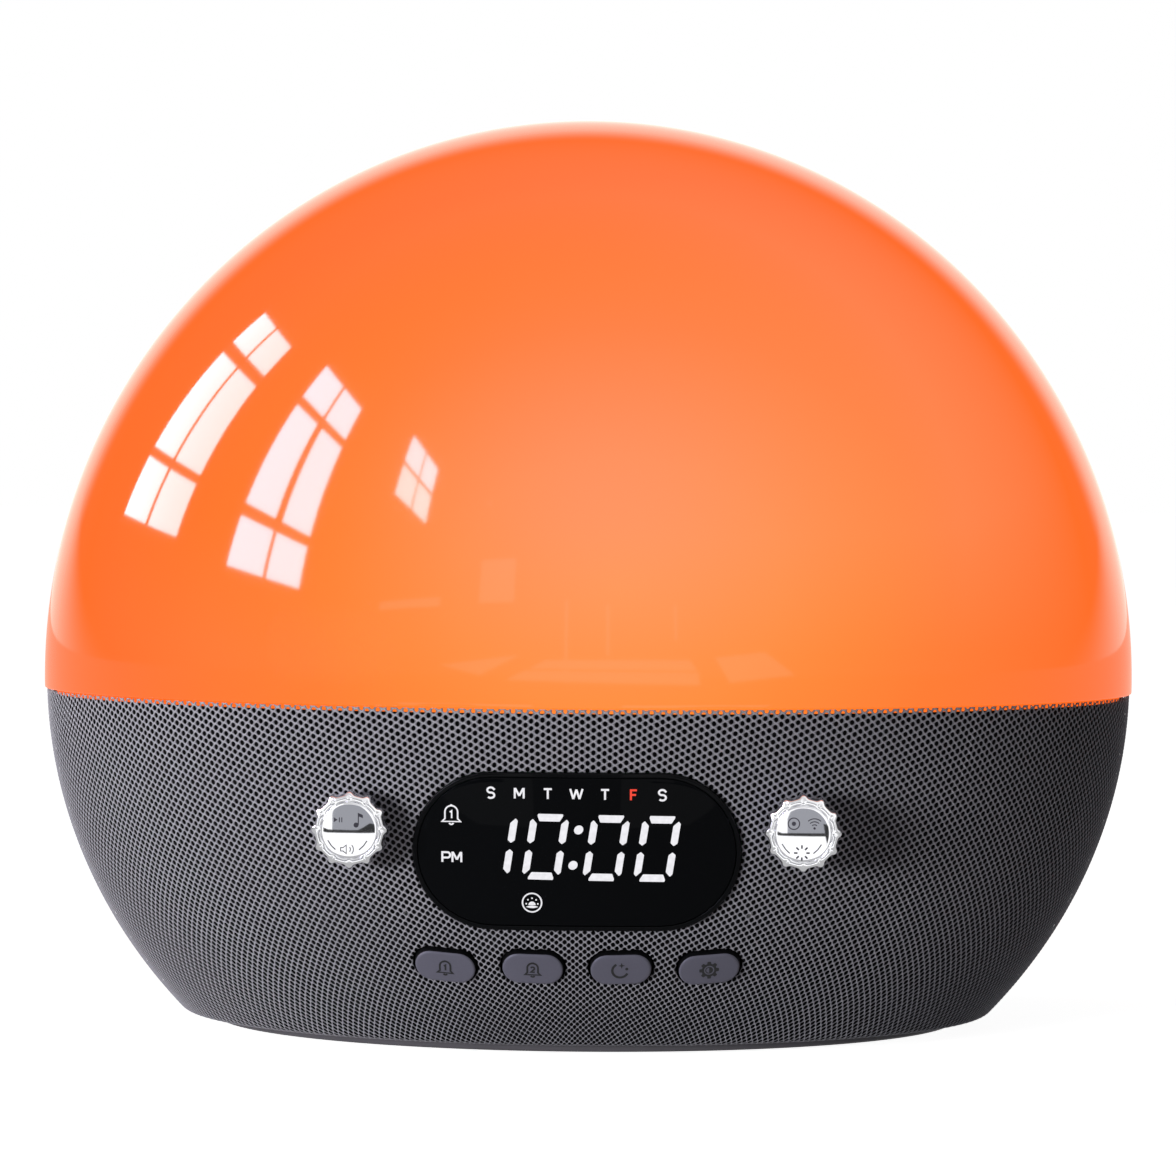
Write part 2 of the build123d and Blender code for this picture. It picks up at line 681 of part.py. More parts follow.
def make_speaker_gasket():
    low, high = SPEAKER_PAD_DEPTH, SPEAKER_TOP
    corners = [(SPEAKER_OPENING, low), (SPEAKER_RADIUS, low), (SPEAKER_RADIUS, high)]
    ring = speaker_turned(corners + [(SPEAKER_OPENING, high)])
    for spot in speaker_screw_spots():
        ring = ring - disc(1.0, -FAR, FAR, spot, SPEAKER_PLANE)
    return ring


def make_speaker_basket():
    """A flange, a tapering wall and a floor with a hole for the cone's middle."""
    top, floor_depth = SPEAKER_TOP, SPEAKER_TOP + BASKET_DEPTH
    flange = [(13.6, top), (SPEAKER_RADIUS, top), (SPEAKER_RADIUS, top + FLANGE_THICKNESS)]
    wall_outside = [(14.4, top + FLANGE_THICKNESS), (11.4, floor_depth - 1)]
    floor = [(11.4, floor_depth), (4, floor_depth), (4, floor_depth - 1)]
    wall_inside = [(10.4, floor_depth - 1), (13.6, top + 1.0)]
    basket = speaker_turned(flange + wall_outside + floor + wall_inside)
    for spot in speaker_screw_spots():
        basket = basket - disc(1.0, -FAR, FAR, spot, SPEAKER_PLANE)
    return basket


def make_speaker_surround():
    """The flexible roll between the cone and the basket."""
    top = SPEAKER_TOP
    foot = [(11.6, top + 1.0), (13.5, top + 1.0), (13.5, top)]
    roll = [(13.1, top - 0.9), (12.2, top - 1.1), (11.6, top)]
    return speaker_turned(foot + roll)


def make_speaker_cone():
    top = SPEAKER_TOP
    front = [(0, top + 4.2), (4, top + 5), (11.5, top + 0.5)]
    rear = [(11.5, top + 0.9), (4, top + 5.5), (0, top + 4.7)]
    return speaker_turned(front + rear)


def make_speaker_magnet():
    front = -(SPEAKER_TOP + BASKET_DEPTH)
    return disc(MAGNET_RADIUS, front - MAGNET_HEIGHT, front, plane=SPEAKER_PLANE)


def make_speaker_screws():
    seat = -(SPEAKER_TOP + FLANGE_THICKNESS)
    spots = speaker_screw_spots()
    return group([pan_screw(seat + 4, seat, spot, SPEAKER_PLANE, 0.75, 1.5, 0.9) for spot in spots])


# ---- Power socket ----


def make_port_panel():
    """A tray set into the fabric, with an upright floor that the socket's nose comes through."""
    plane = along_y(0, PORT_Z)
    block = prism(pill(PORT_SIZE), -80, -PORT_FACE_Y + 2, plane) & form(0)
    recess = prism(pill(PORT_SIZE, -0.8), -90, -PORT_FACE_Y, plane)
    return block - recess - disc(4.1, -FAR, FAR, plane=plane)


def make_power_socket():
    plane = along_y(0, PORT_Z)
    face = -PORT_FACE_Y
    box = prism(Rectangle(9, 9), face + 2, face + 14, plane)
    nose = disc(4.0, face, face + 3, plane=plane)
    bore = disc(SOCKET_BORE_RADIUS, face - 1, face + SOCKET_BORE_DEPTH, plane=plane)
    pin = disc(1.05, face + 1, face + SOCKET_BORE_DEPTH + 1, plane=plane)
    return box + nose - bore + pin


# ---- Cables ----


def flat_cable(points, width, thickness, x):
    """A flat cable whose line lies in a plane across X, from points of y and z."""
    line = FilletPolyline(points, radius=3)
    ribbon = extrude(trace(line, thickness), width / 2, both=True)
    return Plane(origin=(x, 0, 0), x_dir=(0, 1, 0), z_dir=(1, 0, 0)) * ribbon


def make_display_cable():
    rear = DISPLAY_PLANE.from_local_coords(Vector(0, 2, -15.4))
    inward = DISPLAY_PLANE.z_dir * -5
    leaving = [(rear.Y, rear.Z), (rear.Y + inward.Y, rear.Z + inward.Z)]
    arriving = [(-26, 32), (-19, 26), (-19, SOCKET_TOP)]
    return flat_cable(leaving + arriving, 12, 0.7, 0)


def make_led_cable():
    high = LED_BOARD_Z - 0.1
    return group([disc(0.8, SOCKET_TOP, high, (-16 + dx, 19)) for dx in (-1.0, 1.0)])


def make_speaker_cable():
    rear = SPEAKER_PLANE.from_local_coords(Vector(-9, 0, -24))
    points = [(rear.Y, rear.Z), (rear.Y - 8, rear.Z), (19, 34), (19, SOCKET_TOP)]
    return flat_cable(points, 3, 1.4, 16)


def make_power_cable():
    back, front = PORT_FACE_Y - 14.1, 20.1
    return group([disc(0.8, -back, -front, plane=along_y(x, 13.4)) for x in (-2, 2)])


NODES = {
    "diffuser_dome": make_diffuser_dome,
    "light_tray": make_light_tray,
    "tray_screws": make_tray_screws,
    "led_board": make_led_board,
    "led_chips": make_led_chips,
    "led_board_screws": make_led_screws,
    "base_shell": make_base_shell,
    "fabric_sleeve": make_fabric_sleeve,
    "base_plate": make_base_plate,
    "rubber_feet": make_rubber_feet,
    "base_plate_screws": make_base_plate_screws,
    "battery_door": make_battery_door,
    "battery_door_screw": make_battery_door_screw,
    "coin_cell": make_coin_cell,
    "cell_holder": make_cell_holder,
    "main_board": make_main_board,
    "board_chips": make_board_chips,
    "board_capacitors": make_board_capacitors,
    "board_sockets": make_board_sockets,
    "main_board_screws": make_main_board_screws,
    "display_bezel": make_display_bezel,
    "display_lens": make_display_lens,
    "display_block": make_display_block,
    "display_board": make_display_board,
    "display_socket": make_display_socket,
    "display_screws": make_display_screws,
    "switch_bodies": make_switch_bodies,
    "key_board": make_key_board,
    "key_board_screws": make_key_board_screws,
    "encoder_bodies": make_encoder_bodies,
    "encoder_boards": make_encoder_boards,
    "encoder_screws": make_encoder_screws,
    "speaker_gasket": make_speaker_gasket,
    "speaker_basket": make_speaker_basket,
    "speaker_surround": make_speaker_surround,
    "speaker_cone": make_speaker_cone,
    "speaker_magnet": make_speaker_magnet,
    "speaker_screws": make_speaker_screws,
    "port_panel": make_port_panel,
    "power_socket": make_power_socket,
    "display_cable": make_display_cable,
    "led_cable": make_led_cable,
    "speaker_cable": make_speaker_cable,
    "power_cable": make_power_cable,
}


os.makedirs("parts", exist_ok=True)
for node, make in NODES.items():
    export_step(make(), f"parts/{node}.step")
for key, x in KEY_X.items():
    export_step(make_key(x), f"parts/{key}_button.step")
    export_step(make_plunger(x), f"parts/{key}_plunger.step")
for knob, x in KNOB_X.items():
    export_step(make_knob(x), f"parts/{knob}_knob.step")
    export_step(make_knob_face(x), f"parts/{knob}_knob_face.step")
    export_step(make_shaft(x), f"parts/{knob}_shaft.step")
    export_step(make_push_plunger(x), f"parts/{knob}_push_plunger.step")
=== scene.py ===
"""Sunrise alarm clock: its glowing dome, net sleeve, display, keys and knobs, and a studio.

Metres, in the same frame as the model that it loads. The origin is on the table under the
clock's middle, +X is to the clock's right as it is looked at, -Y is its front and +Z is up.
"""

import json
from functools import partial
from math import asin, atan, cos, pi, radians, sin, sqrt

import bmesh
import bpy
import numpy as np
from bpy.props import FloatProperty, FloatVectorProperty, IntProperty, PointerProperty
from mathutils import Matrix, Vector


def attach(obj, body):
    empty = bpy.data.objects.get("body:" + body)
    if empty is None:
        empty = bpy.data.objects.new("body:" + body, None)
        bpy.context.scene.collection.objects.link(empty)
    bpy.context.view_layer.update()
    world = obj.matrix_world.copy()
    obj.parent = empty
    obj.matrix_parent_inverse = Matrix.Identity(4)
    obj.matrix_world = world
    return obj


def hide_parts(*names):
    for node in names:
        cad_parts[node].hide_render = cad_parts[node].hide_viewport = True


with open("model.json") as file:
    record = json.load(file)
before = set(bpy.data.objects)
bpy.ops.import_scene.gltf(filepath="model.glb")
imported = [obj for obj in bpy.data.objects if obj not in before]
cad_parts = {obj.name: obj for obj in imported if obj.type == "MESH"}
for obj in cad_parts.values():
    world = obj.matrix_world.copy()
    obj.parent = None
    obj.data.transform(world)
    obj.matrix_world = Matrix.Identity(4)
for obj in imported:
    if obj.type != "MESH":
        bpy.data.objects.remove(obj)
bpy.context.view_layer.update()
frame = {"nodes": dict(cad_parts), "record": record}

bl_info = {
    "name": "Sunrise Alarm Clock", "version": (1, 0, 0), "blender": (4, 5, 0),
    "location": "View3D > Sidebar > Clock",
    "description": "Builds the visible pieces of a sunrise alarm clock on its packed frame",
    "category": "Object",
}

MM = 0.001

MATH = "ShaderNodeMath"
VECTOR = "ShaderNodeVectorMath"
SPLIT = "ShaderNodeSeparateXYZ"
COMBINE = "ShaderNodeCombineXYZ"

# The body's form: an oval of revolution, whose insets are measured in from the outside
HALF_WIDTH = 100 * MM
HALF_DEPTH = 72 * MM
WIDEST_Z = 64 * MM
DOME_RISE = 102.1 * MM
BASE_DROP = 92.3 * MM
UNDERSIDE_Z = 2 * MM
SEAM_Z = 61.6 * MM
FABRIC_INSET = 0.4 * MM

DISPLAY_Z = 37.2 * MM
DISPLAY_SIZE = (55.6 * MM, 27.2 * MM)
KEY_Z = 16.8 * MM
KEY_X = {"alarm_1": -22.5 * MM, "alarm_2": -7.5 * MM, "sleep": 7.5 * MM, "settings": 22.5 * MM}
KEY_SIZE = (10.6 * MM, 6.0 * MM)
KEY_GAP = 0.35 * MM
KNOB_X = {"volume": -38 * MM, "lamp": 38 * MM}
KNOB_Z = 41 * MM
KNOB_FRONT_Y = -72.6 * MM
KNOB_HOLE_RADIUS = 5.3 * MM
PORT_Z = 12.5 * MM
PORT_SIZE = (24 * MM, 12 * MM)
PLATE_RIM = (68.2 * MM, 49.6 * MM)
KNOB_FACE_RADIUS = 4.72 * MM

# The net from the front's middle, as factors of the powers of a fiftieth of the row's number:
# how its columns are drawn to the middle and bunched, how its rows' arch grows, and then, of
# the number itself, how its holes narrow
ROW_SHARE = 0.02
NET_DRAW = (0.0, -0.104, -0.059, -0.132)
NET_BUNCH = (0.032, -0.09, 0.045)
NET_ARCH = (1.0, 0.26)
HOLE_NARROWING = (1.0, 0.0, -0.00009)

# The dome's brightest and palest places, across and up, and how far each reaches
HOT_SPOT = (7 * MM, 82 * MM)
HOT_REACH = (70 * MM, 55 * MM)
PALE_SPOT = (4 * MM, 96 * MM)
PALE_REACH = (54 * MM, 44 * MM)

# How far the lit figures and the printed icons stand out from the body's outside
LIT_RISE = 0.24 * MM
ICON_RISE = 0.47 * MM

# Strokes and rounded ends of what is drawn, in millimetres
LETTER_STROKE = 0.34
BAR_ROUNDING = 0.13

# What the gloss mirrors: the windows' plane and glow, the plane and glow of small things in
# front, and how near a mirror has to be to show what stands before the knobs
WINDOW_X = -3.0
WINDOW_GLOW = 16.0
SHINE_Y = -0.85
SHINE_GLOW = 1.4
NEAR = 58 * MM


# ---- Colours and nodes ----


def linear(hex_colour, alpha=True):
    """An sRGB hex colour as linear values."""
    values = [int(hex_colour[i : i + 2], 16) / 255 for i in (1, 3, 5)]
    values = [v / 12.92 if v <= 0.04045 else ((v + 0.055) / 1.055) ** 2.4 for v in values]
    return (*values, 1.0) if alpha else tuple(values)


def fill(tree, node, inputs):
    """Set a node's inputs, by name or number, to values, sockets or other nodes' first outputs."""
    for key, value in inputs.items():
        if isinstance(value, bpy.types.Node):
            value = value.outputs[0]
        if isinstance(value, bpy.types.NodeSocket):
            tree.links.new(value, node.inputs[key])
        else:
            node.inputs[key].default_value = value


def add(tree, kind, inputs=(), operation=None, **settings):
    """Add a node. Its inputs come by name or in their order, and settings are its attributes."""
    node = tree.nodes.new(kind)
    if operation:
        node.operation = operation
    for name, value in settings.items():
        setattr(node, name, value)
    fill(tree, node, inputs if isinstance(inputs, dict) else dict(enumerate(inputs)))
    return node


def cleared(block):
    """The node tree of a material or a world, with nothing in it."""
    block.use_nodes = True
    block.node_tree.nodes.clear()
    return block.node_tree


def new_material(name):
    """An empty node material with its shader, to which a finish is added."""
    material = bpy.data.materials.new(name)
    tree = cleared(material)
    shader = add(tree, "ShaderNodeBsdfPrincipled")
    add(tree, "ShaderNodeOutputMaterial", {"Surface": shader.outputs["BSDF"]})
    return material, tree, shader


# ---- The body's form ----


def half_width_at(z):
    """Half width of the outside, below the widest section."""
    return HALF_WIDTH * sqrt(1 - ((WIDEST_Z - z) / BASE_DROP) ** 2)


def depth_at(x, z):
    """How far in front of the middle the outside stands at x and z."""
    return HALF_DEPTH / HALF_WIDTH * sqrt(half_width_at(z) ** 2 - x * x)


class Face:
    """A flat set of axes, such as a key's, from which shapes are carried onto the body."""

    def __init__(self, origin, normal):
        self.origin = np.array(origin, float)
        self.out = np.array(normal, float) / np.linalg.norm(normal)
        self.across = np.cross((0, 0, 1), self.out)
        self.across /= np.linalg.norm(self.across)
        self.up = np.cross(self.out, self.across)

    def at(self, u, v, w=0.0):
        """The point u across, v up and w out."""
        u, v, w = (np.asarray(n, float)[..., None] for n in (u, v, w))
        return self.origin + u * self.across + v * self.up + w * self.out

    def on_body(self, u, v, inset=0.0):
        """Where the line out through (u, v) leaves the lower body's surface at an inset."""
        axes = np.array([HALF_WIDTH, HALF_DEPTH, BASE_DROP]) - inset
        start = (self.at(u, v) - (0, 0, WIDEST_Z)) / axes
        way = self.out / axes
        a = (way * way).sum()
        b = (start * way).sum(-1)
        c = (start * start).sum(-1) - 1
        return self.at(u, v, (-b + np.sqrt(b * b - a * c)) / a)

    def seen(self, points):
        """The points' places across, up and out."""
        return (np.asarray(points) - self.origin) @ np.array([self.across, self.up, self.out]).T


def body_slope(x, z):
    """How far the body's front leans under at x and z."""
    return atan(
        HALF_DEPTH * HALF_WIDTH * (WIDEST_Z - z) / (
            BASE_DROP**2 * sqrt(half_width_at(z) ** 2 - x * x)
        )
    )


KEY_LEAN = body_slope(KEY_X["sleep"], KEY_Z)
KEY_MIDDLE_Y = -depth_at(KEY_X["sleep"], KEY_Z)
DISPLAY_FACE = Face((0, 0, DISPLAY_Z), (0, -1, 0))
PORT_FACE = Face((0, 0, PORT_Z), (0, 1, 0))
KNOB_FACES = {name: Face((x, 0, KNOB_Z), (0, -1, 0)) for name, x in KNOB_X.items()}


def key_face(x):
    """A key's axes: level with its neighbours although the wall curves away from them."""
    normal = np.array([0, -cos(KEY_LEAN), -sin(KEY_LEAN)])
    up = np.array([0, -sin(KEY_LEAN), cos(KEY_LEAN)])
    setback = -KEY_MIDDLE_Y - depth_at(x, KEY_Z)
    origin = np.array([x, KEY_MIDDLE_Y, KEY_Z]) - up * setback * sin(KEY_LEAN)
    return Face(origin, normal)


KEY_FACES = {name: key_face(x) for name, x in KEY_X.items()}


def body_profile(inset, top_z, end_depth, corner=3.2 * MM, steps=90):
    """Half section of the lower body's front, as points of half depth and height, top first."""
    width, depth, drop = HALF_WIDTH - inset, HALF_DEPTH - inset, BASE_DROP - inset
    floor_z = UNDERSIDE_Z + inset
    turn = max(corner - inset / 2, 0.6 * MM)

    def flank(angle):
        return np.array([width * cos(angle), WIDEST_Z - drop * sin(angle)])

    def inward(angle):
        normal = np.array([-cos(angle) / width, sin(angle) / drop])
        return normal / np.linalg.norm(normal)

    low, high = 0.0, asin((WIDEST_Z - floor_z) / drop)
    for _ in range(50):
        middle = (low + high) / 2
        if (flank(middle) + turn * inward(middle))[1] > floor_z + turn:
            low = middle
        else:
            high = middle
    centre = flank(low) + turn * inward(low)
    first = asin((WIDEST_Z - top_z) / drop)
    points = [flank(angle) for angle in np.linspace(first, low, steps)]
    lead = points[-1] - centre
    bend = np.arctan2(lead[1], lead[0])
    arc = np.linspace(bend, -pi / 2, 12)[1:]
    points += [centre + turn * np.array([cos(angle), sin(angle)]) for angle in arc]
    end = end_depth * width / depth
    points += [np.array([x, floor_z]) for x in np.linspace(centre[0], end, 12)[1:]]
    return np.array([(x * depth / width, z) for x, z in points])


# ---- Meshes ----


def new_object(name, data):
    """An object at the origin, in the scene."""
    made = bpy.data.objects.new(name, data)
    bpy.context.scene.collection.objects.link(made)
    return made


def mesh_object(name, vertices, faces):
    """A mesh object as its points and faces are given."""
    mesh = bpy.data.meshes.new(name)
    mesh.from_pydata([tuple(map(float, v)) for v in vertices], [], faces)
    return new_object(name, mesh)


def new_piece(name, vertices, faces):
    """A mesh object at the origin, with its doubles merged and its faces turned outwards."""
    piece = mesh_object(name, vertices, faces)
    work = bmesh.new()
    work.from_mesh(piece.data)
    bmesh.ops.remove_doubles(work, verts=work.verts, dist=1e-7)
    bmesh.ops.dissolve_degenerate(work, edges=work.edges, dist=1e-8)
    bmesh.ops.recalc_face_normals(work, faces=work.faces)
    work.to_mesh(piece.data)
    work.free()
    piece.data.shade_smooth()
    return piece


def finish_piece(piece, material, body, replaced=()):
    """Give a piece its material, hang it on the empty of the body that it rides on, and hide the
    parts that it takes the place of.
    """
    piece.data.materials.clear()
    piece.data.materials.append(material)
    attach(piece, body)
    if replaced:
        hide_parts(*replaced)
    return piece


def skin(rings):
    """Vertices and quads that join rings of equally many points, each ring closed on itself."""
    count = len(rings[0])
    vertices = [point for ring in rings for point in ring]
    faces = []
    for row in range(len(rings) - 1):
        for i in range(count):
            j = (i + 1) % count
            first, second = row * count, (row + 1) * count
            faces.append((first + i, first + j, second + j, second + i))
    return vertices, faces


def round_corner(start, corner, end, radius, steps=5):
    """Points that round the corner between two straight runs of a section."""
    start, corner, end = map(np.array, (start, corner, end))
    first = (start - corner) / np.linalg.norm(start - corner)
    second = (end - corner) / np.linalg.norm(end - corner)
    a, b = corner + first * radius, corner + second * radius
    shares = np.linspace(0, 1, steps)
    return [tuple((1 - t) ** 2 * a + 2 * t * (1 - t) * corner + t * t * b) for t in shares]


def pill_outline(size, grow=0.0, cap_steps=20, side_steps=14):
    """Points round a pill shape of a width and height, grown or shrunk."""
    radius = max(size[1] / 2 + grow, 0.0)
    reach = (size[0] - size[1]) / 2
    points = []
    for side in (1, -1):
        for angle in np.linspace(-pi / 2, pi / 2, cap_steps, endpoint=False):
            points.append((side * (reach + radius * cos(angle)), side * radius * sin(angle)))
        for share in np.linspace(1, -1, side_steps, endpoint=False):
            points.append((side * reach * share, side * radius))
    return np.array(points)


def pill_distance(points, size, grow=0.0):
    """How far points lie outside a pill shape, and the way straight out of it."""
    reach = (size[0] - size[1]) / 2
    nearest = np.clip(points[:, 0], -reach, reach)
    away = points - np.stack([nearest, np.zeros_like(nearest)], 1)
    length = np.linalg.norm(away, axis=1)
    return length - size[1] / 2 - grow, away / np.maximum(length, 1e-9)[:, None]


def raised_pad(name, face, size, section):
    """A pill-shaped piece on the body, from a section's points of growth and rise."""
    rings = []
    for grow, rise in section:
        outline = pill_outline(size, grow)
        rings.append(face.on_body(outline[:, 0], outline[:, 1], -rise))
    return new_piece(name, *skin(rings))


def new_tree(name, **inputs):
    """A geometry node tree with named inputs, each given by its socket type."""
    tree = bpy.data.node_groups.new(name, "GeometryNodeTree")
    tree.interface.new_socket("Geometry", in_out="INPUT", socket_type="NodeSocketGeometry")
    tree.interface.new_socket("Geometry", in_out="OUTPUT", socket_type="NodeSocketGeometry")
    for label, kind in inputs.items():
        title = label.replace("_", " ").title()
        tree.interface.new_socket(title, in_out="INPUT", socket_type=f"NodeSocket{kind}")
    source = add(tree, "NodeGroupInput").outputs
    return tree, source


def grown(name, base, tree, **values):
    """The plain mesh that a node tree makes from a base object, which it takes the place of."""
    modifier = base.modifiers.new(name, "NODES")
    modifier.node_group = tree
    sockets = {s.name: s.identifier for s in tree.interface.items_tree if s.in_out == "INPUT"}
    for label, value in values.items():
        modifier[sockets[label.replace("_", " ").title()]] = value
    graph = bpy.context.evaluated_depsgraph_get()
    mesh = bpy.data.meshes.new_from_object(base.evaluated_get(graph), depsgraph=graph)
    mesh.name = name
    bpy.data.objects.remove(base)
    return new_object(name, mesh)


def net_cell():
    """One diamond of the net round its hole, in columns across, rows along and metres out."""
    net = bpy.context.scene.clock_net
    wide = net.hole_width / net.column_spacing / 2
    tall = net.hole_height / net.row_spacing / 2
    vertices, faces = [], []
    for i in range(8):
        angle = i * pi / 4
        along = abs(cos(angle)) + abs(sin(angle))
        vertices.append((cos(angle) / along, sin(angle) / along / 2, -net.thread_sink * (i % 2)))
        vertices.append((wide * cos(angle), tall * sin(angle), -net.thread_relief))
    for i in range(8):
        j = (i + 1) % 8
        faces.append((2 * i, 2 * i + 1, 2 * j + 1, 2 * j))
    return mesh_object("net_cell", vertices, faces)


def polynomial(tree, value, factors):
    """The sum of a value's powers, each times its factor, from the power of nought up."""
    total = factors[-1]
    for factor in factors[-2::-1]:
        total = add(tree, MATH, (total, value, factor), "MULTIPLY_ADD")
    return total


def woven_net_tree():
    """Node tree that repeats one cell in staggered columns and stretches the net over the body.

    Its base is the front half section, a curve whose points hold half depth and height. A point
    of the flat net is a column, a row and a height off the surface. Column 0 is the middle of
    the front. The net is drawn in as it goes down, so its columns lean towards the middle and
    its rows rise there, to a fold in the very middle.
    """
    tree, source = new_tree(
        "woven_net", cell="Object", first_column="Int", piece_columns="Int", columns_round="Int",
        first_row="Int", rows="Int", row_spacing="Float", section_length="Float", row_arch="Float",
        row_fold="Float", hole_depth="Float", squeeze="Float", yarn="Material",
    )

    node = partial(add, tree)

    def laid_at(column, row):
        """A flat place's turn round the body, its way down the section and its columns' spread."""
        turn = node(
            MATH, (node(MATH, (column, source["Columns Round"]), "DIVIDE"), 2 * pi), "MULTIPLY"
        )
        sine = node(MATH, (turn,), "SINE")
        cosine = node(MATH, (turn,), "COSINE")
        twice = node(MATH, (turn, 2.0), "MULTIPLY")
        down = node(MATH, (row, ROW_SHARE), "MULTIPLY")
        draw = polynomial(tree, down, NET_DRAW)
        bunch = polynomial(tree, down, NET_BUNCH)
        drawn = node(MATH, (draw, sine), "MULTIPLY")
        shift = node(MATH, (bunch, node(MATH, (twice,), "SINE"), drawn), "MULTIPLY_ADD")
        widened = node(MATH, (draw, cosine, 1.0), "MULTIPLY_ADD")
        spread = node(
            MATH, (node(MATH, (bunch, 2.0), "MULTIPLY"), node(MATH, (twice,), "COSINE"), widened),
            "MULTIPLY_ADD",
        )
        arch = node(MATH, (polynomial(tree, down, NET_ARCH), source["Row Arch"]), "MULTIPLY")
        fold = node(MATH, (node(MATH, (sine, sine, 0.0009), "MULTIPLY_ADD"),), "SQRT")
        folded = node(MATH, (fold, source["Row Fold"]), "MULTIPLY")
        level = node(MATH, (arch, node(MATH, (1.0, cosine), "SUBTRACT"), folded), "MULTIPLY_ADD")
        way = node(MATH, (row, source["Row Spacing"], level), "MULTIPLY_ADD")
        return node(MATH, (turn, shift), "ADD"), way, spread

    # Whole-numbered places, with every other column half a row lower
    across = node(MATH, (source["Piece Columns"], 1), "SUBTRACT")
    below = node(MATH, (source["Rows"], 1), "SUBTRACT")
    grid = node(
        "GeometryNodeMeshGrid",
        {
            "Size X": across, "Size Y": below, "Vertices X": source["Piece Columns"],
            "Vertices Y": source["Rows"],
        },
    )
    middle = node(
        COMBINE, (node(MATH, (across, 0.5), "MULTIPLY"), node(MATH, (below, 0.5), "MULTIPLY"))
    )
    first = node(COMBINE, (source["First Column"], source["First Row"]))
    place = node("GeometryNodeInputPosition")
    centred = node(VECTOR, (place, middle), "ADD")
    whole = node(SPLIT, (node(VECTOR, (centred, first), "ADD"),)).outputs
    column = node(MATH, (whole[0],), "ROUND")
    row = node(MATH, (whole[1],), "ROUND")
    stagger = node(MATH, (node(MATH, (column, 2.0), "FLOORED_MODULO"), 0.5), "MULTIPLY")
    placed = node(
        "GeometryNodeSetPosition",
        {
            "Geometry": grid.outputs["Mesh"],
            "Position": node(COMBINE, (column, node(MATH, (row, stagger), "ADD"))),
        },
    )

    # Only the places that come between the section's ends are kept
    spot = node(SPLIT, (node("GeometryNodeInputPosition"),)).outputs
    half = node(MATH, (source["Section Length"], 0.5), "MULTIPLY")
    off_middle = node(
        MATH, (node(MATH, (laid_at(spot[0], spot[1])[1], half), "SUBTRACT"),), "ABSOLUTE"
    )
    reach = node(MATH, (half, source["Row Spacing"]), "ADD")
    kept = node(
        "GeometryNodeDeleteGeometry",
        {"Geometry": placed, "Selection": node(MATH, (off_middle, reach), "GREATER_THAN")},
        domain="POINT",
    )
    cell = node("GeometryNodeObjectInfo", {"Object": source["Cell"]})
    copies = node(
        "GeometryNodeInstanceOnPoints", {"Points": kept, "Instance": cell.outputs["Geometry"]}
    )
    real = node("GeometryNodeRealizeInstances", {0: copies})
    joined = node("GeometryNodeMergeByDistance", {"Geometry": real, "Distance": 0.02})

    # Kept for the yarn's twist, for the painted shade on the yarn towards the holes and for the
    # baked map
    flat = node(SPLIT, (node("GeometryNodeInputPosition"),)).outputs
    inner = node(MATH, (flat[2], node(MATH, (source["Hole Depth"], -1.0), "MULTIPLY")), "DIVIDE")
    woven = node(
        "GeometryNodeStoreNamedAttribute",
        {"Geometry": joined, "Name": "weave", "Value": node(COMBINE, (flat[0], flat[1], inner))},
        data_type="FLOAT_VECTOR", domain="POINT",
    )
    share = node(
        MATH, (node(MATH, (flat[0], source["First Column"]), "SUBTRACT"), source["Piece Columns"]),
        "DIVIDE",
    )
    low_share = node(
        MATH, (node(MATH, (flat[1], source["First Row"]), "SUBTRACT"), source["Rows"]), "DIVIDE"
    )
    mapped = node(
        "GeometryNodeStoreNamedAttribute",
        {"Geometry": woven, "Name": "OFBake", "Value": node(COMBINE, (share, low_share))},
        data_type="FLOAT2", domain="CORNER",
    )

    # The holes keep their width where the columns come together, and the yarns wander a little
    nearest = node(MATH, (flat[0],), "ROUND")
    from_hole = node(MATH, (flat[0], nearest), "SUBTRACT")
    narrowing = polynomial(tree, node(MATH, (flat[1], 0.0), "MAXIMUM"), HOLE_NARROWING)
    size_here = node(MATH, (laid_at(nearest, flat[1])[2], narrowing), "MULTIPLY")
    opened = node(
        MATH, (node(MATH, (1.0, node(MATH, (size_here, 0.6), "MAXIMUM")), "DIVIDE"), 0.8), "POWER"
    )
    at_hole = node(MATH, (inner, 0.9), "GREATER_THAN")
    widened = node(MATH, (node(MATH, (opened, 1.0), "SUBTRACT"), at_hole, 1.0), "MULTIPLY_ADD")
    way_round = node(
        MATH, (node(MATH, (flat[0], source["Columns Round"]), "DIVIDE"), 2 * pi), "MULTIPLY"
    )
    ring = node(
        COMBINE,
        (
            node(MATH, (way_round,), "SINE"), node(MATH, (way_round,), "COSINE"),
            node(MATH, (flat[1], ROW_SHARE), "MULTIPLY"),
        ),
    )
    drift = node("ShaderNodeTexNoise", {"Vector": ring, "Scale": 52.0, "Detail": 1.0})
    wander = node(
        SPLIT, (node(VECTOR, (drift.outputs["Color"], (0.5, 0.5, 0.5)), "SUBTRACT"),)
    ).outputs
    column = node(MATH, (from_hole, widened, nearest), "MULTIPLY_ADD")
    column = node(MATH, (wander[0], 0.3, column), "MULTIPLY_ADD")
    row = node(MATH, (wander[1], 0.15, flat[1]), "MULTIPLY_ADD")

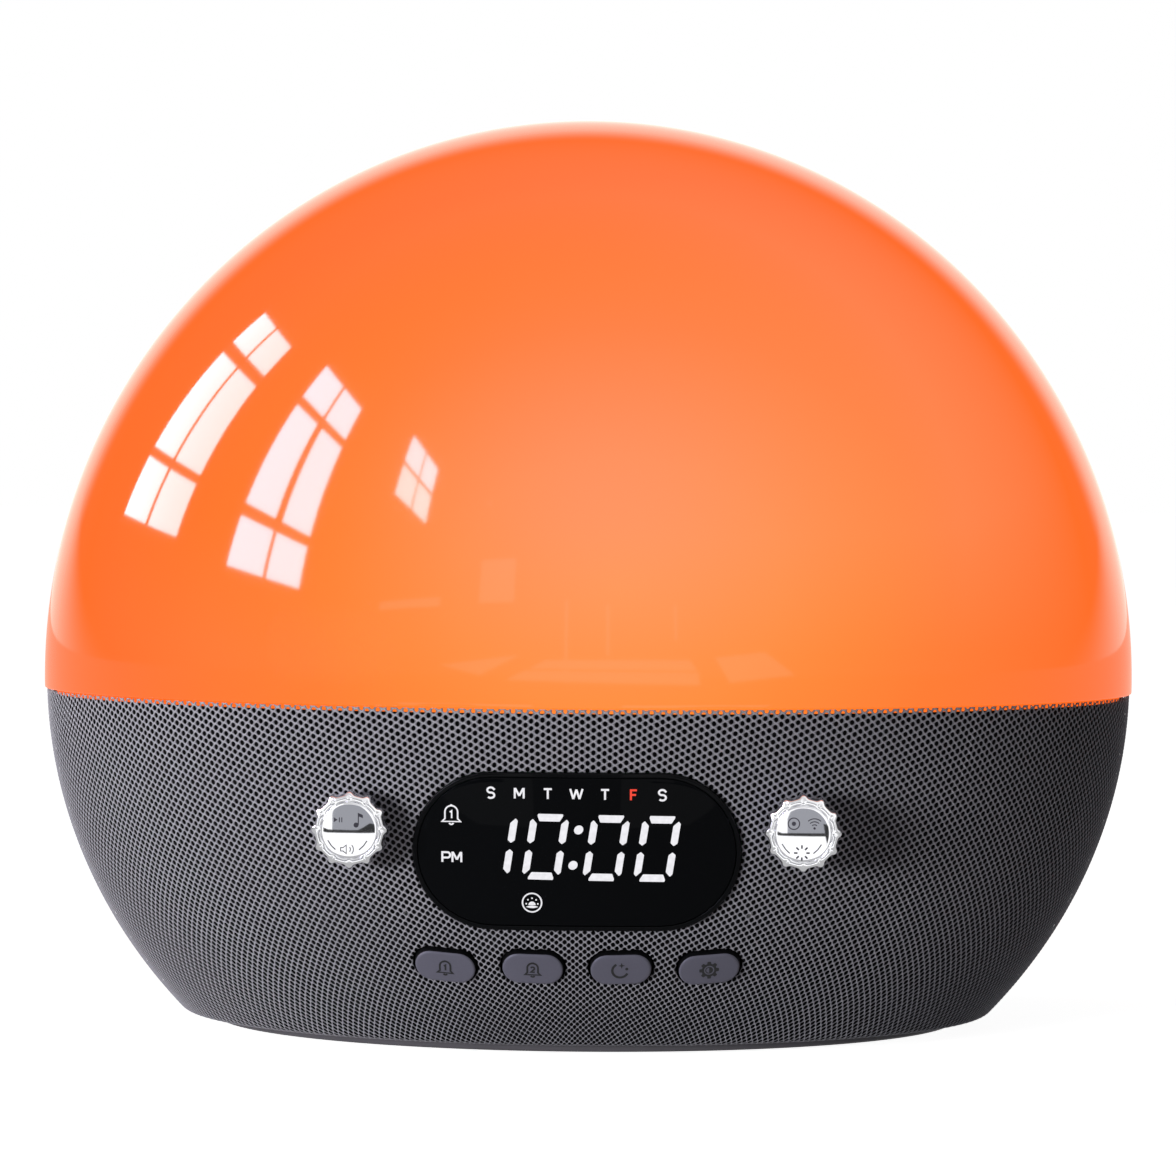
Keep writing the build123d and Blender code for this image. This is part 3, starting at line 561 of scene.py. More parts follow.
    # The oval and the half section, both read by their own length
    circle = node("GeometryNodeCurvePrimitiveCircle", {"Resolution": 720, "Radius": 1.0})
    oval = node(
        "GeometryNodeTransform",
        {"Geometry": circle, "Scale": node(COMBINE, (1.0, source["Squeeze"], 1.0))},
    )
    turn, way, _ = laid_at(column, row)
    front = node(MATH, (node(MATH, (turn, 1 / (2 * pi), 0.75), "MULTIPLY_ADD"),), "FRACT")
    depth = node(MATH, (way, source["Section Length"]), "DIVIDE")
    clipped = node(MATH, (node(MATH, (depth, 0.0), "MAXIMUM"), 1.0), "MINIMUM")
    round_it = node(
        "GeometryNodeSampleCurve", {"Curves": oval, "Factor": front}, data_type="FLOAT_VECTOR",
        mode="FACTOR",
    )
    down_it = node(
        "GeometryNodeSampleCurve", {"Curves": source["Geometry"], "Factor": clipped},
        data_type="FLOAT_VECTOR", mode="FACTOR",
    )
    east = node(SPLIT, (round_it.outputs["Position"],)).outputs
    cosine = east[0]
    sine = node(MATH, (east[1], source["Squeeze"]), "DIVIDE")
    size = node(SPLIT, (down_it.outputs["Position"],)).outputs
    run = node(SPLIT, (down_it.outputs["Tangent"],)).outputs
    wide = node(MATH, (size[0], source["Squeeze"]), "DIVIDE")
    wider = node(MATH, (run[0], source["Squeeze"]), "DIVIDE")
    surface = node(
        COMBINE,
        (node(MATH, (wide, cosine), "MULTIPLY"), node(MATH, (size[0], sine), "MULTIPLY"), size[2]),
    )
    along = node(
        COMBINE,
        (node(MATH, (wider, cosine), "MULTIPLY"), node(MATH, (run[0], sine), "MULTIPLY"), run[2]),
    )
    back = node(MATH, (node(MATH, (wide, sine), "MULTIPLY"), -1.0), "MULTIPLY")
    around = node(COMBINE, (back, node(MATH, (size[0], cosine), "MULTIPLY")))
    outward = node(VECTOR, (node(VECTOR, (along, around), "CROSS_PRODUCT"),), "NORMALIZE")
    rise = node(COMBINE, (flat[2], flat[2], flat[2]))
    flagged = node(
        "GeometryNodeStoreNamedAttribute",
        {
            "Geometry": mapped, "Name": "past_end",
            "Value": node(MATH, (depth, clipped, 1e-6), "COMPARE"),
        },
        data_type="FLOAT", domain="POINT",
    )
    flag = node("GeometryNodeInputNamedAttribute", {"Name": "past_end"}, data_type="FLOAT")
    trimmed = node(
        "GeometryNodeDeleteGeometry",
        {"Geometry": flagged, "Selection": node(MATH, (flag, 0.01), "LESS_THAN")}, domain="FACE",
    )
    clean = node("GeometryNodeRemoveAttribute", {"Geometry": trimmed, "Name": "past_end"})
    laid = node(
        "GeometryNodeSetPosition",
        {
            "Geometry": clean,
            "Position": node(VECTOR, (surface, node(VECTOR, (outward, rise), "MULTIPLY")), "ADD"),
        },
    )
    soft = node("GeometryNodeSetShadeSmooth", {"Geometry": laid})
    dressed = node("GeometryNodeSetMaterial", {"Geometry": soft, "Material": source["Yarn"]})
    node("NodeGroupOutput", {0: dressed})
    return tree


def opening_list():
    """Each opening through the net: its axes, its pill shape and how far the shape is grown."""
    openings = [(DISPLAY_FACE, DISPLAY_SIZE, 0.05 * MM), (PORT_FACE, PORT_SIZE, 0.05 * MM)]
    openings += [(face, KEY_SIZE, KEY_GAP) for face in KEY_FACES.values()]
    hole = (2 * KNOB_HOLE_RADIUS, 2 * KNOB_HOLE_RADIUS)
    return openings + [(face, hole, 0.0) for face in KNOB_FACES.values()]


def cut_openings(piece, tuck=0.35 * MM):
    """Cut the net at the openings: what lies inside one is drawn back to its edge and tucked in."""
    mesh = piece.data
    points = np.zeros(len(mesh.vertices) * 3)
    mesh.vertices.foreach_get("co", points)
    points = points.reshape(-1, 3)
    inside = np.zeros(len(points), bool)
    for face, size, grow in opening_list():
        seen = face.seen(points)
        near = np.flatnonzero(
            (seen[:, 2] > -0.03) & (abs(seen[:, 0]) < size[0]) & (abs(seen[:, 1]) < size[1]) & (
                (points @ face.out) > 0
            )
        )
        distance, way = pill_distance(seen[near, :2], size, grow)
        cut = near[distance < 0]
        if len(cut) == 0:
            continue
        edge = seen[cut, :2] - way[distance < 0] * distance[distance < 0][:, None]
        points[cut] = face.on_body(edge[:, 0], edge[:, 1], FABRIC_INSET + tuck)
        inside[cut] = True
    mesh.vertices.foreach_set("co", points.ravel())
    work = bmesh.new()
    work.from_mesh(mesh)
    work.verts.ensure_lookup_table()
    gone = [face for face in work.faces if all(inside[v.index] for v in face.verts)]
    bmesh.ops.delete(work, geom=gone, context="FACES")
    work.to_mesh(mesh)
    work.free()


# ---- Finishes ----


def milky_acrylic():
    """Moulded milky acrylic, lit from inside.

    It is polished, so it mirrors what is round it, most of all where it turns away. The light
    behind it is strongest in front of the lamps and deepens to red orange towards the edges.
    """
    glow = bpy.context.scene.clock_glow
    material, tree, shader = new_material("milky_acrylic_lit")
    place = add(tree, "ShaderNodeTexCoord").outputs["Object"]

    def spread(centre, reach):
        """Distance from a place in the dome's front, as a share of a reach across and up."""
        shares = [1 / reach[0], 0.0, 1 / reach[1]]
        shift = [-centre[0] * shares[0], 0.0, -centre[1] * shares[2]]
        spot = add(tree, "ShaderNodeMapping", {"Vector": place, "Location": shift, "Scale": shares})
        return add(tree, VECTOR, {0: spot}, "LENGTH").outputs["Value"]

    fall = add(tree, "ShaderNodeMapRange", {"Value": spread(HOT_SPOT, HOT_REACH), "From Max": 1.3})
    ramp = add(tree, "ShaderNodeValToRGB", {"Fac": fall})
    stops = ((0.0, glow.hot), (0.3, glow.warm), (0.62, glow.even), (1.0, glow.deep))
    while len(ramp.color_ramp.elements) < len(stops):
        ramp.color_ramp.elements.new(1.0)
    for element, (at, colour) in zip(ramp.color_ramp.elements, stops):
        element.position = at
        element.color = (*colour, 1.0)
    bleached = add(
        tree, "ShaderNodeMapRange",
        {"Value": spread(PALE_SPOT, PALE_REACH), "To Min": glow.bleach, "To Max": 0.0},
        interpolation_type="SMOOTHSTEP",
    )
    pale = add(tree, COMBINE, {"Z": bleached})
    light = add(tree, VECTOR, {0: ramp.outputs["Color"], 1: pale}, "ADD")
    fill(
        tree, shader,
        {
            "Emission Color": light, "Emission Strength": 1.0, "Base Color": (*glow.body, 1.0),
            "Roughness": 0.05, "IOR": 1.49,
        },
    )
    return material


def net_yarn():
    """Woven polyester yarn, dyed grey.

    Matt with a soft sheen, with painted shade that darkens it where it turns down into a hole.
    Single yarns differ a little in shade, and a twist of 0.3 mm runs along each, drawn coarser
    than the real fibres.
    """
    net = bpy.context.scene.clock_net
    material, tree, shader = new_material("woven_polyester_yarn")
    weave = add(tree, "ShaderNodeAttribute", attribute_name="weave").outputs["Vector"]
    strand = add(tree, "ShaderNodeTexNoise", {"Vector": weave, "Scale": 1.7, "Detail": 1.0})
    shade = add(
        tree, "ShaderNodeMapRange",
        {"Value": strand, "From Min": 0.3, "From Max": 0.7, "To Min": 0.88, "To Max": 1.12},
    )
    inner = add(tree, SPLIT, {0: weave}).outputs["Z"]
    # Painted shade: the yarn darkens towards a hole's edge
    edge = add(
        tree, "ShaderNodeMapRange",
        {"Value": inner, "From Min": 0.1, "From Max": 1.0, "To Min": 1.0, "To Max": net.hole_edge_painted_shade},
        interpolation_type="SMOOTHSTEP",
    )
    both = add(tree, MATH, {0: shade, 1: edge}, "MULTIPLY")
    colour = add(tree, VECTOR, {0: net.yarn_colour, "Scale": both}, "SCALE")
    twist = add(tree, "ShaderNodeTexNoise", {"Vector": weave, "Scale": 7.0, "Detail": 2.0})
    bump = add(tree, "ShaderNodeBump", {"Height": twist, "Strength": 0.5, "Distance": 0.05 * MM})
    fill(
        tree, shader,
        {
            "Base Color": colour, "Normal": bump, "Roughness": 0.75, "Specular IOR Level": 0.2,
            "Sheen Weight": 0.1, "Sheen Roughness": 0.4,
        },
    )
    return material


def moulded(
    name, colour, roughness, grain=0.35 * MM, depth=0.02 * MM, mottle=0.06, metallic=0.0,
    specular=0.5,
):
    """Moulded or plated parts: a fine spark-eroded grain, and a shade that drifts a little."""
    material, tree, shader = new_material(name)
    place = add(tree, "ShaderNodeTexCoord").outputs["Object"]
    grit = add(tree, "ShaderNodeTexNoise", {"Vector": place, "Scale": 1 / grain, "Detail": 2.0})
    cloud = add(
        tree, "ShaderNodeTexNoise", {"Vector": place, "Scale": 1 / (12 * MM), "Detail": 1.0}
    )
    shade = add(
        tree, "ShaderNodeMapRange",
        {
            "Value": cloud, "From Min": 0.3, "From Max": 0.7, "To Min": 1 - mottle,
            "To Max": 1 + mottle,
        },
    )
    tint = add(tree, VECTOR, {0: linear(colour, alpha=False), "Scale": shade}, "SCALE")
    wear = add(
        tree, "ShaderNodeMapRange",
        {
            "Value": grit, "From Min": 0.3, "From Max": 0.7, "To Min": max(roughness - 0.08, 0.02),
            "To Max": min(roughness + 0.08, 1.0),
        },
    )
    bump = add(tree, "ShaderNodeBump", {"Height": grit, "Strength": 0.4, "Distance": depth})
    fill(
        tree, shader,
        {
            "Base Color": tint, "Roughness": wear, "Normal": bump, "Metallic": metallic,
            "Specular IOR Level": specular,
        },
    )
    return material


def polished(name, colour, roughness=0.08, metallic=0.0, waviness=0.0, specular=0.5):
    """Polished mouldings and bright plating, whose long shallow waves bend what they mirror."""
    material, tree, shader = new_material(name)
    place = add(tree, "ShaderNodeTexCoord").outputs["Object"]
    wave = add(tree, "ShaderNodeTexNoise", {"Vector": place, "Scale": 1 / (4 * MM), "Detail": 1.0})
    bump = add(tree, "ShaderNodeBump", {"Height": wave, "Strength": 1.0, "Distance": waviness})
    fill(
        tree, shader,
        {
            "Normal": bump, "Base Color": linear(colour), "Roughness": roughness,
            "Metallic": metallic, "Specular IOR Level": specular,
        },
    )
    return material


def lit(name, colour, strength):
    """Light-emitting bars behind a thin diffuser: an even light that its grain dims a little."""
    material, tree, shader = new_material(name)
    place = add(tree, "ShaderNodeTexCoord").outputs["Object"]
    grain = add(
        tree, "ShaderNodeTexNoise", {"Vector": place, "Scale": 1 / (0.8 * MM), "Detail": 1.0}
    )
    level = add(
        tree, "ShaderNodeMapRange",
        {"Value": grain, "From Min": 0.3, "From Max": 0.7, "To Min": 0.88, "To Max": 1.0},
    )
    glow = add(tree, VECTOR, {0: linear(colour, alpha=False), "Scale": level}, "SCALE")
    fill(
        tree, shader,
        {
            "Emission Color": glow, "Base Color": linear("#101010"), "Emission Strength": strength,
            "Roughness": 0.5,
        },
    )
    return material


SLOT_FINISHES = {
    "white_reflector": lambda: moulded("moulded_white_abs", "#E4E4E0", 0.55),
    "black_shell": lambda: moulded("moulded_black_abs", "#08080A", 0.8, specular=0.05),
    "grey_plastic": lambda: moulded("moulded_grey_abs", "#4B494F", 0.5),
    "foot_rubber": lambda: moulded("moulded_rubber", "#242426", 0.8, depth=0.04 * MM),
    "zinc_screws": lambda: moulded("zinc_plated_steel", "#C4C4C8", 0.35, metallic=1.0),
    "bright_steel": lambda: moulded("nickel_plated_steel", "#C8C8CA", 0.28, metallic=1.0),
    "circuit_board": lambda: moulded("solder_masked_laminate", "#1F6B3A", 0.3, grain=0.8 * MM),
    "white_board": lambda: moulded("white_solder_mask", "#ECECE8", 0.3, grain=0.8 * MM),
    "led_package": lambda: moulded("phosphor_in_white_frame", "#F8D97A", 0.35),
    "chip_plastic": lambda: moulded("moulded_epoxy", "#26262A", 0.6),
    "socket_nylon": lambda: moulded("moulded_nylon", "#E6E2D2", 0.5),
    "speaker_paper": lambda: moulded(
        "pressed_paper", "#2A2A2C", 0.9, grain=0.6 * MM, depth=0.06 * MM
    ),
    "cable_pvc": lambda: moulded("extruded_pvc", "#C4C4C4", 0.45),
}


# ---- Printed and lit marks ----


def rectangle(left, low, right, high):
    """A rectangle's corners, in order."""
    return [(left, low), (right, low), (right, high), (left, high)]


def arc(centre, radius, start, end, steps=16):
    """Points along an arc, from a start to an end angle in degrees."""
    return [
        (centre[0] + radius * cos(angle), centre[1] + radius * sin(angle))
        for angle in np.radians(np.linspace(start, end, steps))
    ]


def stroke(points, width, closed=False):
    """Four-sided shapes that follow a line with a width."""
    points = np.array(points, float)
    before = np.roll(points, 1, 0) if closed else np.vstack([points[:1], points[:-1]])
    after = np.roll(points, -1, 0) if closed else np.vstack([points[1:], points[-1:]])
    first, second = points - before, after - points
    first /= np.maximum(np.linalg.norm(first, axis=1), 1e-12)[:, None]
    second /= np.maximum(np.linalg.norm(second, axis=1), 1e-12)[:, None]
    way = first + second
    way /= np.linalg.norm(way, axis=1)[:, None]
    side = np.stack([-way[:, 1], way[:, 0]], 1) * width / 2
    spread = np.maximum(np.maximum((way * second).sum(1), (way * first).sum(1)), 0.5)
    left, right = points + side / spread[:, None], points - side / spread[:, None]
    count = len(points) if closed else len(points) - 1
    order = [(i, (i + 1) % len(points)) for i in range(count)]
    return [np.array([right[i], right[j], left[j], left[i]]) for i, j in order]


def fan(points):
    """One filled shape."""
    return [np.array(points, float)]


def softened(points, radius, steps=4):
    """A shape with its corners rounded."""
    count = len(points)
    rounded = []
    for i in range(count):
        rounded += round_corner(points[i - 1], points[i], points[(i + 1) % count], radius, steps)
    return [np.array(rounded)]


def moved(shapes, at=(0.0, 0.0), size=1.0, turn=0.0):
    """Shapes turned by degrees, scaled and shifted."""
    c, s = cos(radians(turn)), sin(radians(turn))
    spin = np.array([[c, s], [-s, c]])
    return [shape @ spin * size + np.array(at) for shape in shapes]


def dot(centre, radius):
    """A filled circle."""
    return fan(arc(centre, radius, 0, 345, 24))


def hoop(centre, radius, width):
    """A circle drawn with a width."""
    return stroke(arc(centre, radius, 0, 360, 41)[:-1], width, closed=True)


# Each letter's lines, in a box one high and centred
LETTERS = {
    "S": [
        [
            (1.3 * x, y)
            for x, y in [
                (0.28, 0.27), *arc((0, 0.24), 0.25, 50, 250, 12),
                *arc((0, -0.25), 0.26, 78, -140, 14),
            ]
        ]
    ],
    "M": [
        [(-0.42, -0.5), (-0.42, 0.5)], [(-0.38, 0.47), (0, -0.25)], [(0, -0.25), (0.38, 0.47)],
        [(0.42, 0.5), (0.42, -0.5)],
    ],
    "T": [[(-0.38, 0.44), (0.38, 0.44)], [(0, 0.44), (0, -0.5)]],
    "W": [
        [(-0.58, 0.5), (-0.29, -0.46)], [(-0.29, -0.46), (0, 0.44)], [(0, 0.44), (0.29, -0.46)],
        [(0.29, -0.46), (0.58, 0.5)],
    ],
    "F": [[(-0.26, -0.5), (-0.26, 0.44), (0.3, 0.44)], [(-0.26, 0.0), (0.22, 0.0)]],
    "P": [
        [
            (-0.38, -0.5), (-0.38, 0.44), (0.08, 0.44), *arc((0.11, 0.18), 0.26, 80, -80, 10),
            (-0.38, -0.08),
        ]
    ],
    "1": [[(-0.2, 0.28), (0.05, 0.47), (0.05, -0.5)]],
    "2": [[*arc((0, 0.2), 0.28, 165, -35, 12), (-0.28, -0.44), (0.33, -0.44)]],
}


def letter(name, height, width):
    """A letter or figure of a height, drawn with strokes of a width."""
    shapes = []
    for line in LETTERS[name]:
        shapes += stroke(np.array(line) * (height - width * 0.2), width)
    return shapes


def bell(number, weight=0.26):
    """An alarm bell 3.6 mm high with a number in it."""
    dome = arc((0, 0.5), 1.2, 180, 0, 18)
    outline = [(-1.75, -1.3), (-1.2, -0.75), *dome, (1.2, -0.75), (1.75, -1.3)]
    shapes = stroke(outline, weight, closed=True)
    shapes += stroke(arc((0, -1.42), 0.42, 200, 340, 10), weight)
    shapes += stroke([(0, 1.6), (0, 1.95)], weight * 1.3)
    return shapes + moved(letter(number, 1.5, weight), (0, 0.05))


def sunrise():
    """Half a sun over the ground, in a ring."""
    ground = arc((0, 1.55), 2.5, -115, -65, 14) + arc((0, -3.0), 2.5, 65, 115, 14)
    shapes = hoop((0, 0), 1.62, 0.25) + fan(arc((0, -0.42), 0.62, 0, 180, 14))
    for angle in range(0, 181, 45):
        shapes += dot((0.98 * cos(radians(angle)), 0.98 * sin(radians(angle)) - 0.2), 0.14)
    return shapes + fan(ground)


def moon():
    """An open crescent with a star and a dot."""
    star = []
    for i in range(8):
        reach = 0.6 if i % 2 == 0 else 0.2
        star.append((0.14 + reach * cos(i * pi / 4), 0.97 + reach * sin(i * pi / 4)))
    return stroke(arc((-0.12, 0), 1.34, 118, 335, 26), 0.42) + fan(star) + dot((1.0, 0.3), 0.27)


def gear():
    """A gear whose middle is half filled."""
    shapes = hoop((0, 0), 1.08, 0.4)
    for i in range(8):
        tooth = softened([(1.15, -0.36), (1.68, -0.3), (1.68, 0.3), (1.15, 0.36)], 0.16)
        shapes += moved(tooth, turn=i * 45)
    return shapes + fan(arc((0.0, 0), 0.66, -90, 90, 14)) + stroke(
        arc((0, 0), 0.58, 90, 270, 14), 0.16
    )


def loudspeaker():
    """A loudspeaker with two sound waves."""
    horn = [
        (-1.25, -0.28), (-0.85, -0.28), (-0.3, -0.72), (-0.3, 0.72), (-0.85, 0.28), (-1.25, 0.28)
    ]
    shapes = stroke(horn, 0.15, closed=True)
    shapes += stroke(arc((-0.2, 0), 0.6, -42, 42, 9), 0.15)
    return shapes + stroke(arc((-0.2, 0), 1.1, -42, 42, 11), 0.15)


def sunburst():
    """Eight short rays round an open middle."""
    rays = []
    for i in range(8):
        ray = softened([(0.72, -0.14), (1.33, -0.14), (1.33, 0.14), (0.72, 0.14)], 0.1)
        rays += moved(ray, turn=i * 45)
    return rays


def waves():
    """Three waves over a dot."""
    shapes = dot((0, 0), 0.2)
    for radius in (0.6, 1.1, 1.6):
        shapes += stroke(arc((0, 0), radius, 48, 132, 12), 0.16)
    return shapes


def note():
    """A musical note."""
    shapes = dot((-0.35, -0.85), 0.42) + stroke([(0.02, -0.85), (0.02, 1.15)], 0.18)
    return shapes + fan([(-0.07, 1.2), (0.75, 0.85), (0.8, 0.3), (-0.07, 0.65)])


def play_and_pause():
    """A small triangle beside two bars."""
    shapes = fan([(-0.75, -0.42), (-0.1, 0), (-0.75, 0.42)])
    return shapes + stroke([(0.2, -0.4), (0.2, 0.4)], 0.16) + stroke(
        [(0.6, -0.4), (0.6, 0.4)], 0.16
    )


def swing_marks():
    """The two strokes that say which way a knob turns."""
    left = stroke([(-3.55, -1.7), (-2.95, -2.6), (-2.25, -3.27)], 0.18)
    return left + stroke([(3.03, -1.75), (2.45, -2.6), (1.7, -3.28)], 0.18)


def marks(name, shapes, onto):
    """A thin printed or lit layer, of shapes in millimetres that onto carries to a surface."""
    vertices, faces = [], []
    for shape in shapes:
        x, y = shape[:, 0], shape[:, 1]
        clockwise = (x * np.roll(y, -1) - y * np.roll(x, -1)).sum() < 0
        shape = shape[::-1] if clockwise else shape
        faces.append(tuple(range(len(vertices), len(vertices) + len(shape))))
        vertices += list(onto(shape[:, 0] * MM, shape[:, 1] * MM))
    return mesh_object(name, vertices, faces)


# ---- Pieces ----


def oval_rings(section, steps=288):
    """Rings round the upright axis for a section of points of inset and height."""
    turn = np.linspace(0, 2 * pi, steps, endpoint=False)
    rings = []
    for inset, z in section:
        rise = DOME_RISE if z > WIDEST_Z else BASE_DROP
        share = sqrt(max(1 - ((z - WIDEST_Z) / (rise - inset)) ** 2, 0.0))
        wide, deep = (HALF_WIDTH - inset) * share, (HALF_DEPTH - inset) * share
        rings.append(np.stack([wide * np.cos(turn), deep * np.sin(turn), np.full(steps, z)], 1))
    return rings


def dome_section(wall=2.4 * MM, skirt=(2.2 * MM, 4.2 * MM), skirt_low=58 * MM, lip=0.35 * MM):
    """Inset and height down the outside, round the lip, round the skirt and up the inside."""
    angles = np.linspace(pi / 2, 0, 80)
    outside = [(0.0, WIDEST_Z + DOME_RISE * sin(angle)) for angle in angles]
    outside += [(0.0, z) for z in np.linspace(WIDEST_Z - 0.6 * MM, SEAM_Z + 2 * lip, 4)]
    outside += round_corner((0.0, SEAM_Z + 2 * lip), (0.0, SEAM_Z), (2 * lip, SEAM_Z), lip, 7)
    plug = [(skirt[0], SEAM_Z), (skirt[0], skirt_low), (skirt[1], skirt_low)]
    plug += [(skirt[1], SEAM_Z + 2 * MM), (wall, SEAM_Z + 2 * MM)]
    inside = [(wall, WIDEST_Z + (DOME_RISE - wall) * sin(angle)) for angle in angles[::-1][1:]]
    return outside + plug + inside


def bar(side, level):
    """An upright bar of a digit, on the left or right and low or high as -1 or 1 says."""
    corners = [(2.05, 1.05), (2.65, 0.54), (3.25, 1.0), (3.25, 4.35), (2.85, 4.76), (2.05, 3.95)]
    return softened([(side * x, level * y) for x, y in corners], BAR_ROUNDING)


def flat_bar(level):
    """The bar across the top or bottom of a digit."""
    corners = [(-1.7, 4.385), (1.7, 4.385), (2.15, 5.3), (2.1, 5.655), (-2.1, 5.655), (-2.15, 5.3)]
    return softened([(x, level * y) for x, y in corners], BAR_ROUNDING)


def digit(figure):
    """A one or a nought made of bars, upright and centred."""
    right = bar(1, 1) + bar(1, -1)
    if figure == "1":
        return right
    return right + bar(-1, 1) + bar(-1, -1) + flat_bar(1) + flat_bar(-1)


def slanted(shapes, slope):
    """Shapes that lean to the right by a share of their height."""
    return [np.stack([shape[:, 0] + slope * shape[:, 1], shape[:, 1]], 1) for shape in shapes]


def knob_sector(teeth, tip, root):
    """One tooth's share of the knob's rim, round the Y axis with its front at Y = 0."""
    rim = [
        (3.05, 0, 11.1, 0), (4.6, 0, 11.1, 0), (4.82, 0, 11.0, 0), (4.9, 0, 10.8, 0),
        (4.9, 0, 5.9, 0), (5.0, 0, 5.8, 0), (5.5, 0.1, 5.8, 0), (5.75, 0.45, 5.7, 0),
        (5.85, 0.8, 5.5, 0), (5.88, 1, 5.2, 0), (5.88, 1, 3.4, 0), (5.88, 1, 1.6, 0),
        (5.88, 0.97, 1.2, 0), (5.86, 0.88, 0.85, 0), (5.83, 0.7, 0.52, 0), (5.76, 0.45, 0.26, 0.2),
        (5.64, 0.2, 0.09, 0.7), (5.48, 0.05, 0.01, 1), (5.28, 0, 0, 0.7), (5.05, 0, 0.03, 0.3),
        (4.88, -0.15, 0.1, 0), (4.78, -0.35, 0.22, 0), (4.74, -0.5, 0.45, 0), (4.74, -0.5, 0.9, 0),
    ]
    turns = np.linspace(-pi / teeth, pi / teeth, 17)
    ridge = 1 / (1 + (turns * teeth / pi / 0.36) ** 4)
    dimple = np.exp(-((turns * teeth / 0.7) ** 2)) * 0.17 * MM
    vertices = []
    for radius, share, back, pressed in rim:
        reach = radius * MM + share * ridge * (tip - root)
        depth = back * MM + pressed * dimple
        vertices += [(r * sin(t), d, r * cos(t)) for r, d, t in zip(reach, depth, turns)]
    faces = []
    for row in range(len(rim) - 1):
        for i in range(len(turns) - 1):
            a, b = row * len(turns) + i, (row + 1) * len(turns) + i
            faces.append((a, b, b + 1, a + 1))
    return mesh_object("knob_sector", vertices, faces)


def ring_of_copies_tree():
    """Node tree that repeats a sector round an axis along Y, and joins the copies."""
    tree, source = new_tree("ring_of_copies", count="Int", centre="Vector", plating="Material")
    points = add(
        tree, "GeometryNodePoints", {"Count": source["Count"], "Position": source["Centre"]}
    )
    index = add(tree, "GeometryNodeInputIndex")
    step = add(tree, MATH, {0: 2 * pi, 1: source["Count"]}, "DIVIDE")
    turn = add(tree, MATH, {0: index, 1: step}, "MULTIPLY")
    spin = add(tree, COMBINE, {"Y": turn})
    copies = add(
        tree, "GeometryNodeInstanceOnPoints",
        {"Points": points, "Instance": source["Geometry"], "Rotation": spin},
    )
    real = add(tree, "GeometryNodeRealizeInstances", {0: copies})
    joined = add(tree, "GeometryNodeMergeByDistance", {"Geometry": real, "Distance": 1e-6})
    soft = add(tree, "GeometryNodeSetShadeSmooth", {"Geometry": joined})
    dressed = add(
        tree, "GeometryNodeSetMaterial", {"Geometry": soft, "Material": source["Plating"]}
    )
    add(tree, "NodeGroupOutput", {0: dressed})
    return tree


# ---- Settings ----


class ClockGlow(bpy.types.PropertyGroup):
    """Colours of the lit dome, from in front of the lamps out to the edges."""

    hot: FloatVectorProperty(
        name="Hot", description="Colour of the brightest spot", subtype="COLOR",
        default=linear("#FF9135", alpha=False), min=0, max=1,
    )
    warm: FloatVectorProperty(
        name="Warm", description="Colour round the brightest spot", subtype="COLOR",
        default=linear("#FF8930", alpha=False), min=0, max=1,
    )
    even: FloatVectorProperty(
        name="Even", description="Colour over most of the dome", subtype="COLOR",
        default=linear("#FF7724", alpha=False), min=0, max=1,
    )
    deep: FloatVectorProperty(
        name="Deep", description="Colour farthest from the lamps", subtype="COLOR",
        default=linear("#FF6921", alpha=False), min=0, max=1,
    )
    body: FloatVectorProperty(
        name="Body", description="Colour of the acrylic itself under room light", subtype="COLOR",
        default=linear("#961C06", alpha=False), min=0, max=1,
    )
    bleach: FloatProperty(
        name="Bleach", description="Blue added to the brightest spot, which makes it paler",
        default=0.06, min=0, max=1,
    )


class ClockNet(bpy.types.PropertyGroup):
    """Sizes and colour of the net sleeve."""

    column_spacing: FloatProperty(
        name="Column Spacing",
        description="From one column of holes to the next, at the widest part", default=0.911 * MM,
        unit="LENGTH",
    )
    row_spacing: FloatProperty(
        name="Row Spacing", description="From one hole to the next down a column",
        default=1.25 * MM, unit="LENGTH",
    )
    hole_width: FloatProperty(
        name="Hole Width", description="Width of a hole between the yarns", default=0.75 * MM,
        unit="LENGTH",
    )
    hole_height: FloatProperty(
        name="Hole Height", description="Height of a hole between the yarns", default=0.86 * MM,
        unit="LENGTH",
    )
    thread_relief: FloatProperty(
        name="Thread Relief", description="How far a hole's edge lies below the yarn's crest",
        default=0.12 * MM, unit="LENGTH",
    )
    thread_sink: FloatProperty(
        name="Thread Sink", description="How far the yarns lie below their crossings",
        default=0.04 * MM, unit="LENGTH",
    )
    row_arch: FloatProperty(
        name="Row Arch", description="How far the rows rise from the front to the sides",
        default=13.7 * MM, unit="LENGTH",
    )
    row_fold: FloatProperty(
        name="Row Fold", description="Depth of the fold in the rows at the middle of the front",
        default=7.3 * MM, unit="LENGTH",
    )
    # Painted shade on the yarn at a hole's edge
    hole_edge_painted_shade: FloatProperty(
        name="Edge Shade", description="How much of its shade the yarn keeps at a hole's edge",
        default=0.35, min=0, max=1,
    )
    yarn_colour: FloatVectorProperty(
        name="Yarn Colour", description="Colour of the yarn", subtype="COLOR",
        default=linear("#9A99A2", alpha=False), min=0, max=1,
    )


class ClockKnobs(bpy.types.PropertyGroup):
    """Sizes of the toothed knobs."""

    teeth: IntProperty(name="Teeth", description="Teeth round each knob", default=12, min=6, max=24)
    tip_radius: FloatProperty(
        name="Tip Radius", description="From a knob's axis to the tips of its teeth",
        default=6.55 * MM, unit="LENGTH",
    )
    root_radius: FloatProperty(
        name="Root Radius", description="From a knob's axis to the hollows between its teeth",
        default=5.88 * MM, unit="LENGTH",
    )
    face_rise: FloatProperty(
        name="Face Rise", description="How far the face disc is domed", default=0.35 * MM,
        unit="LENGTH",
    )


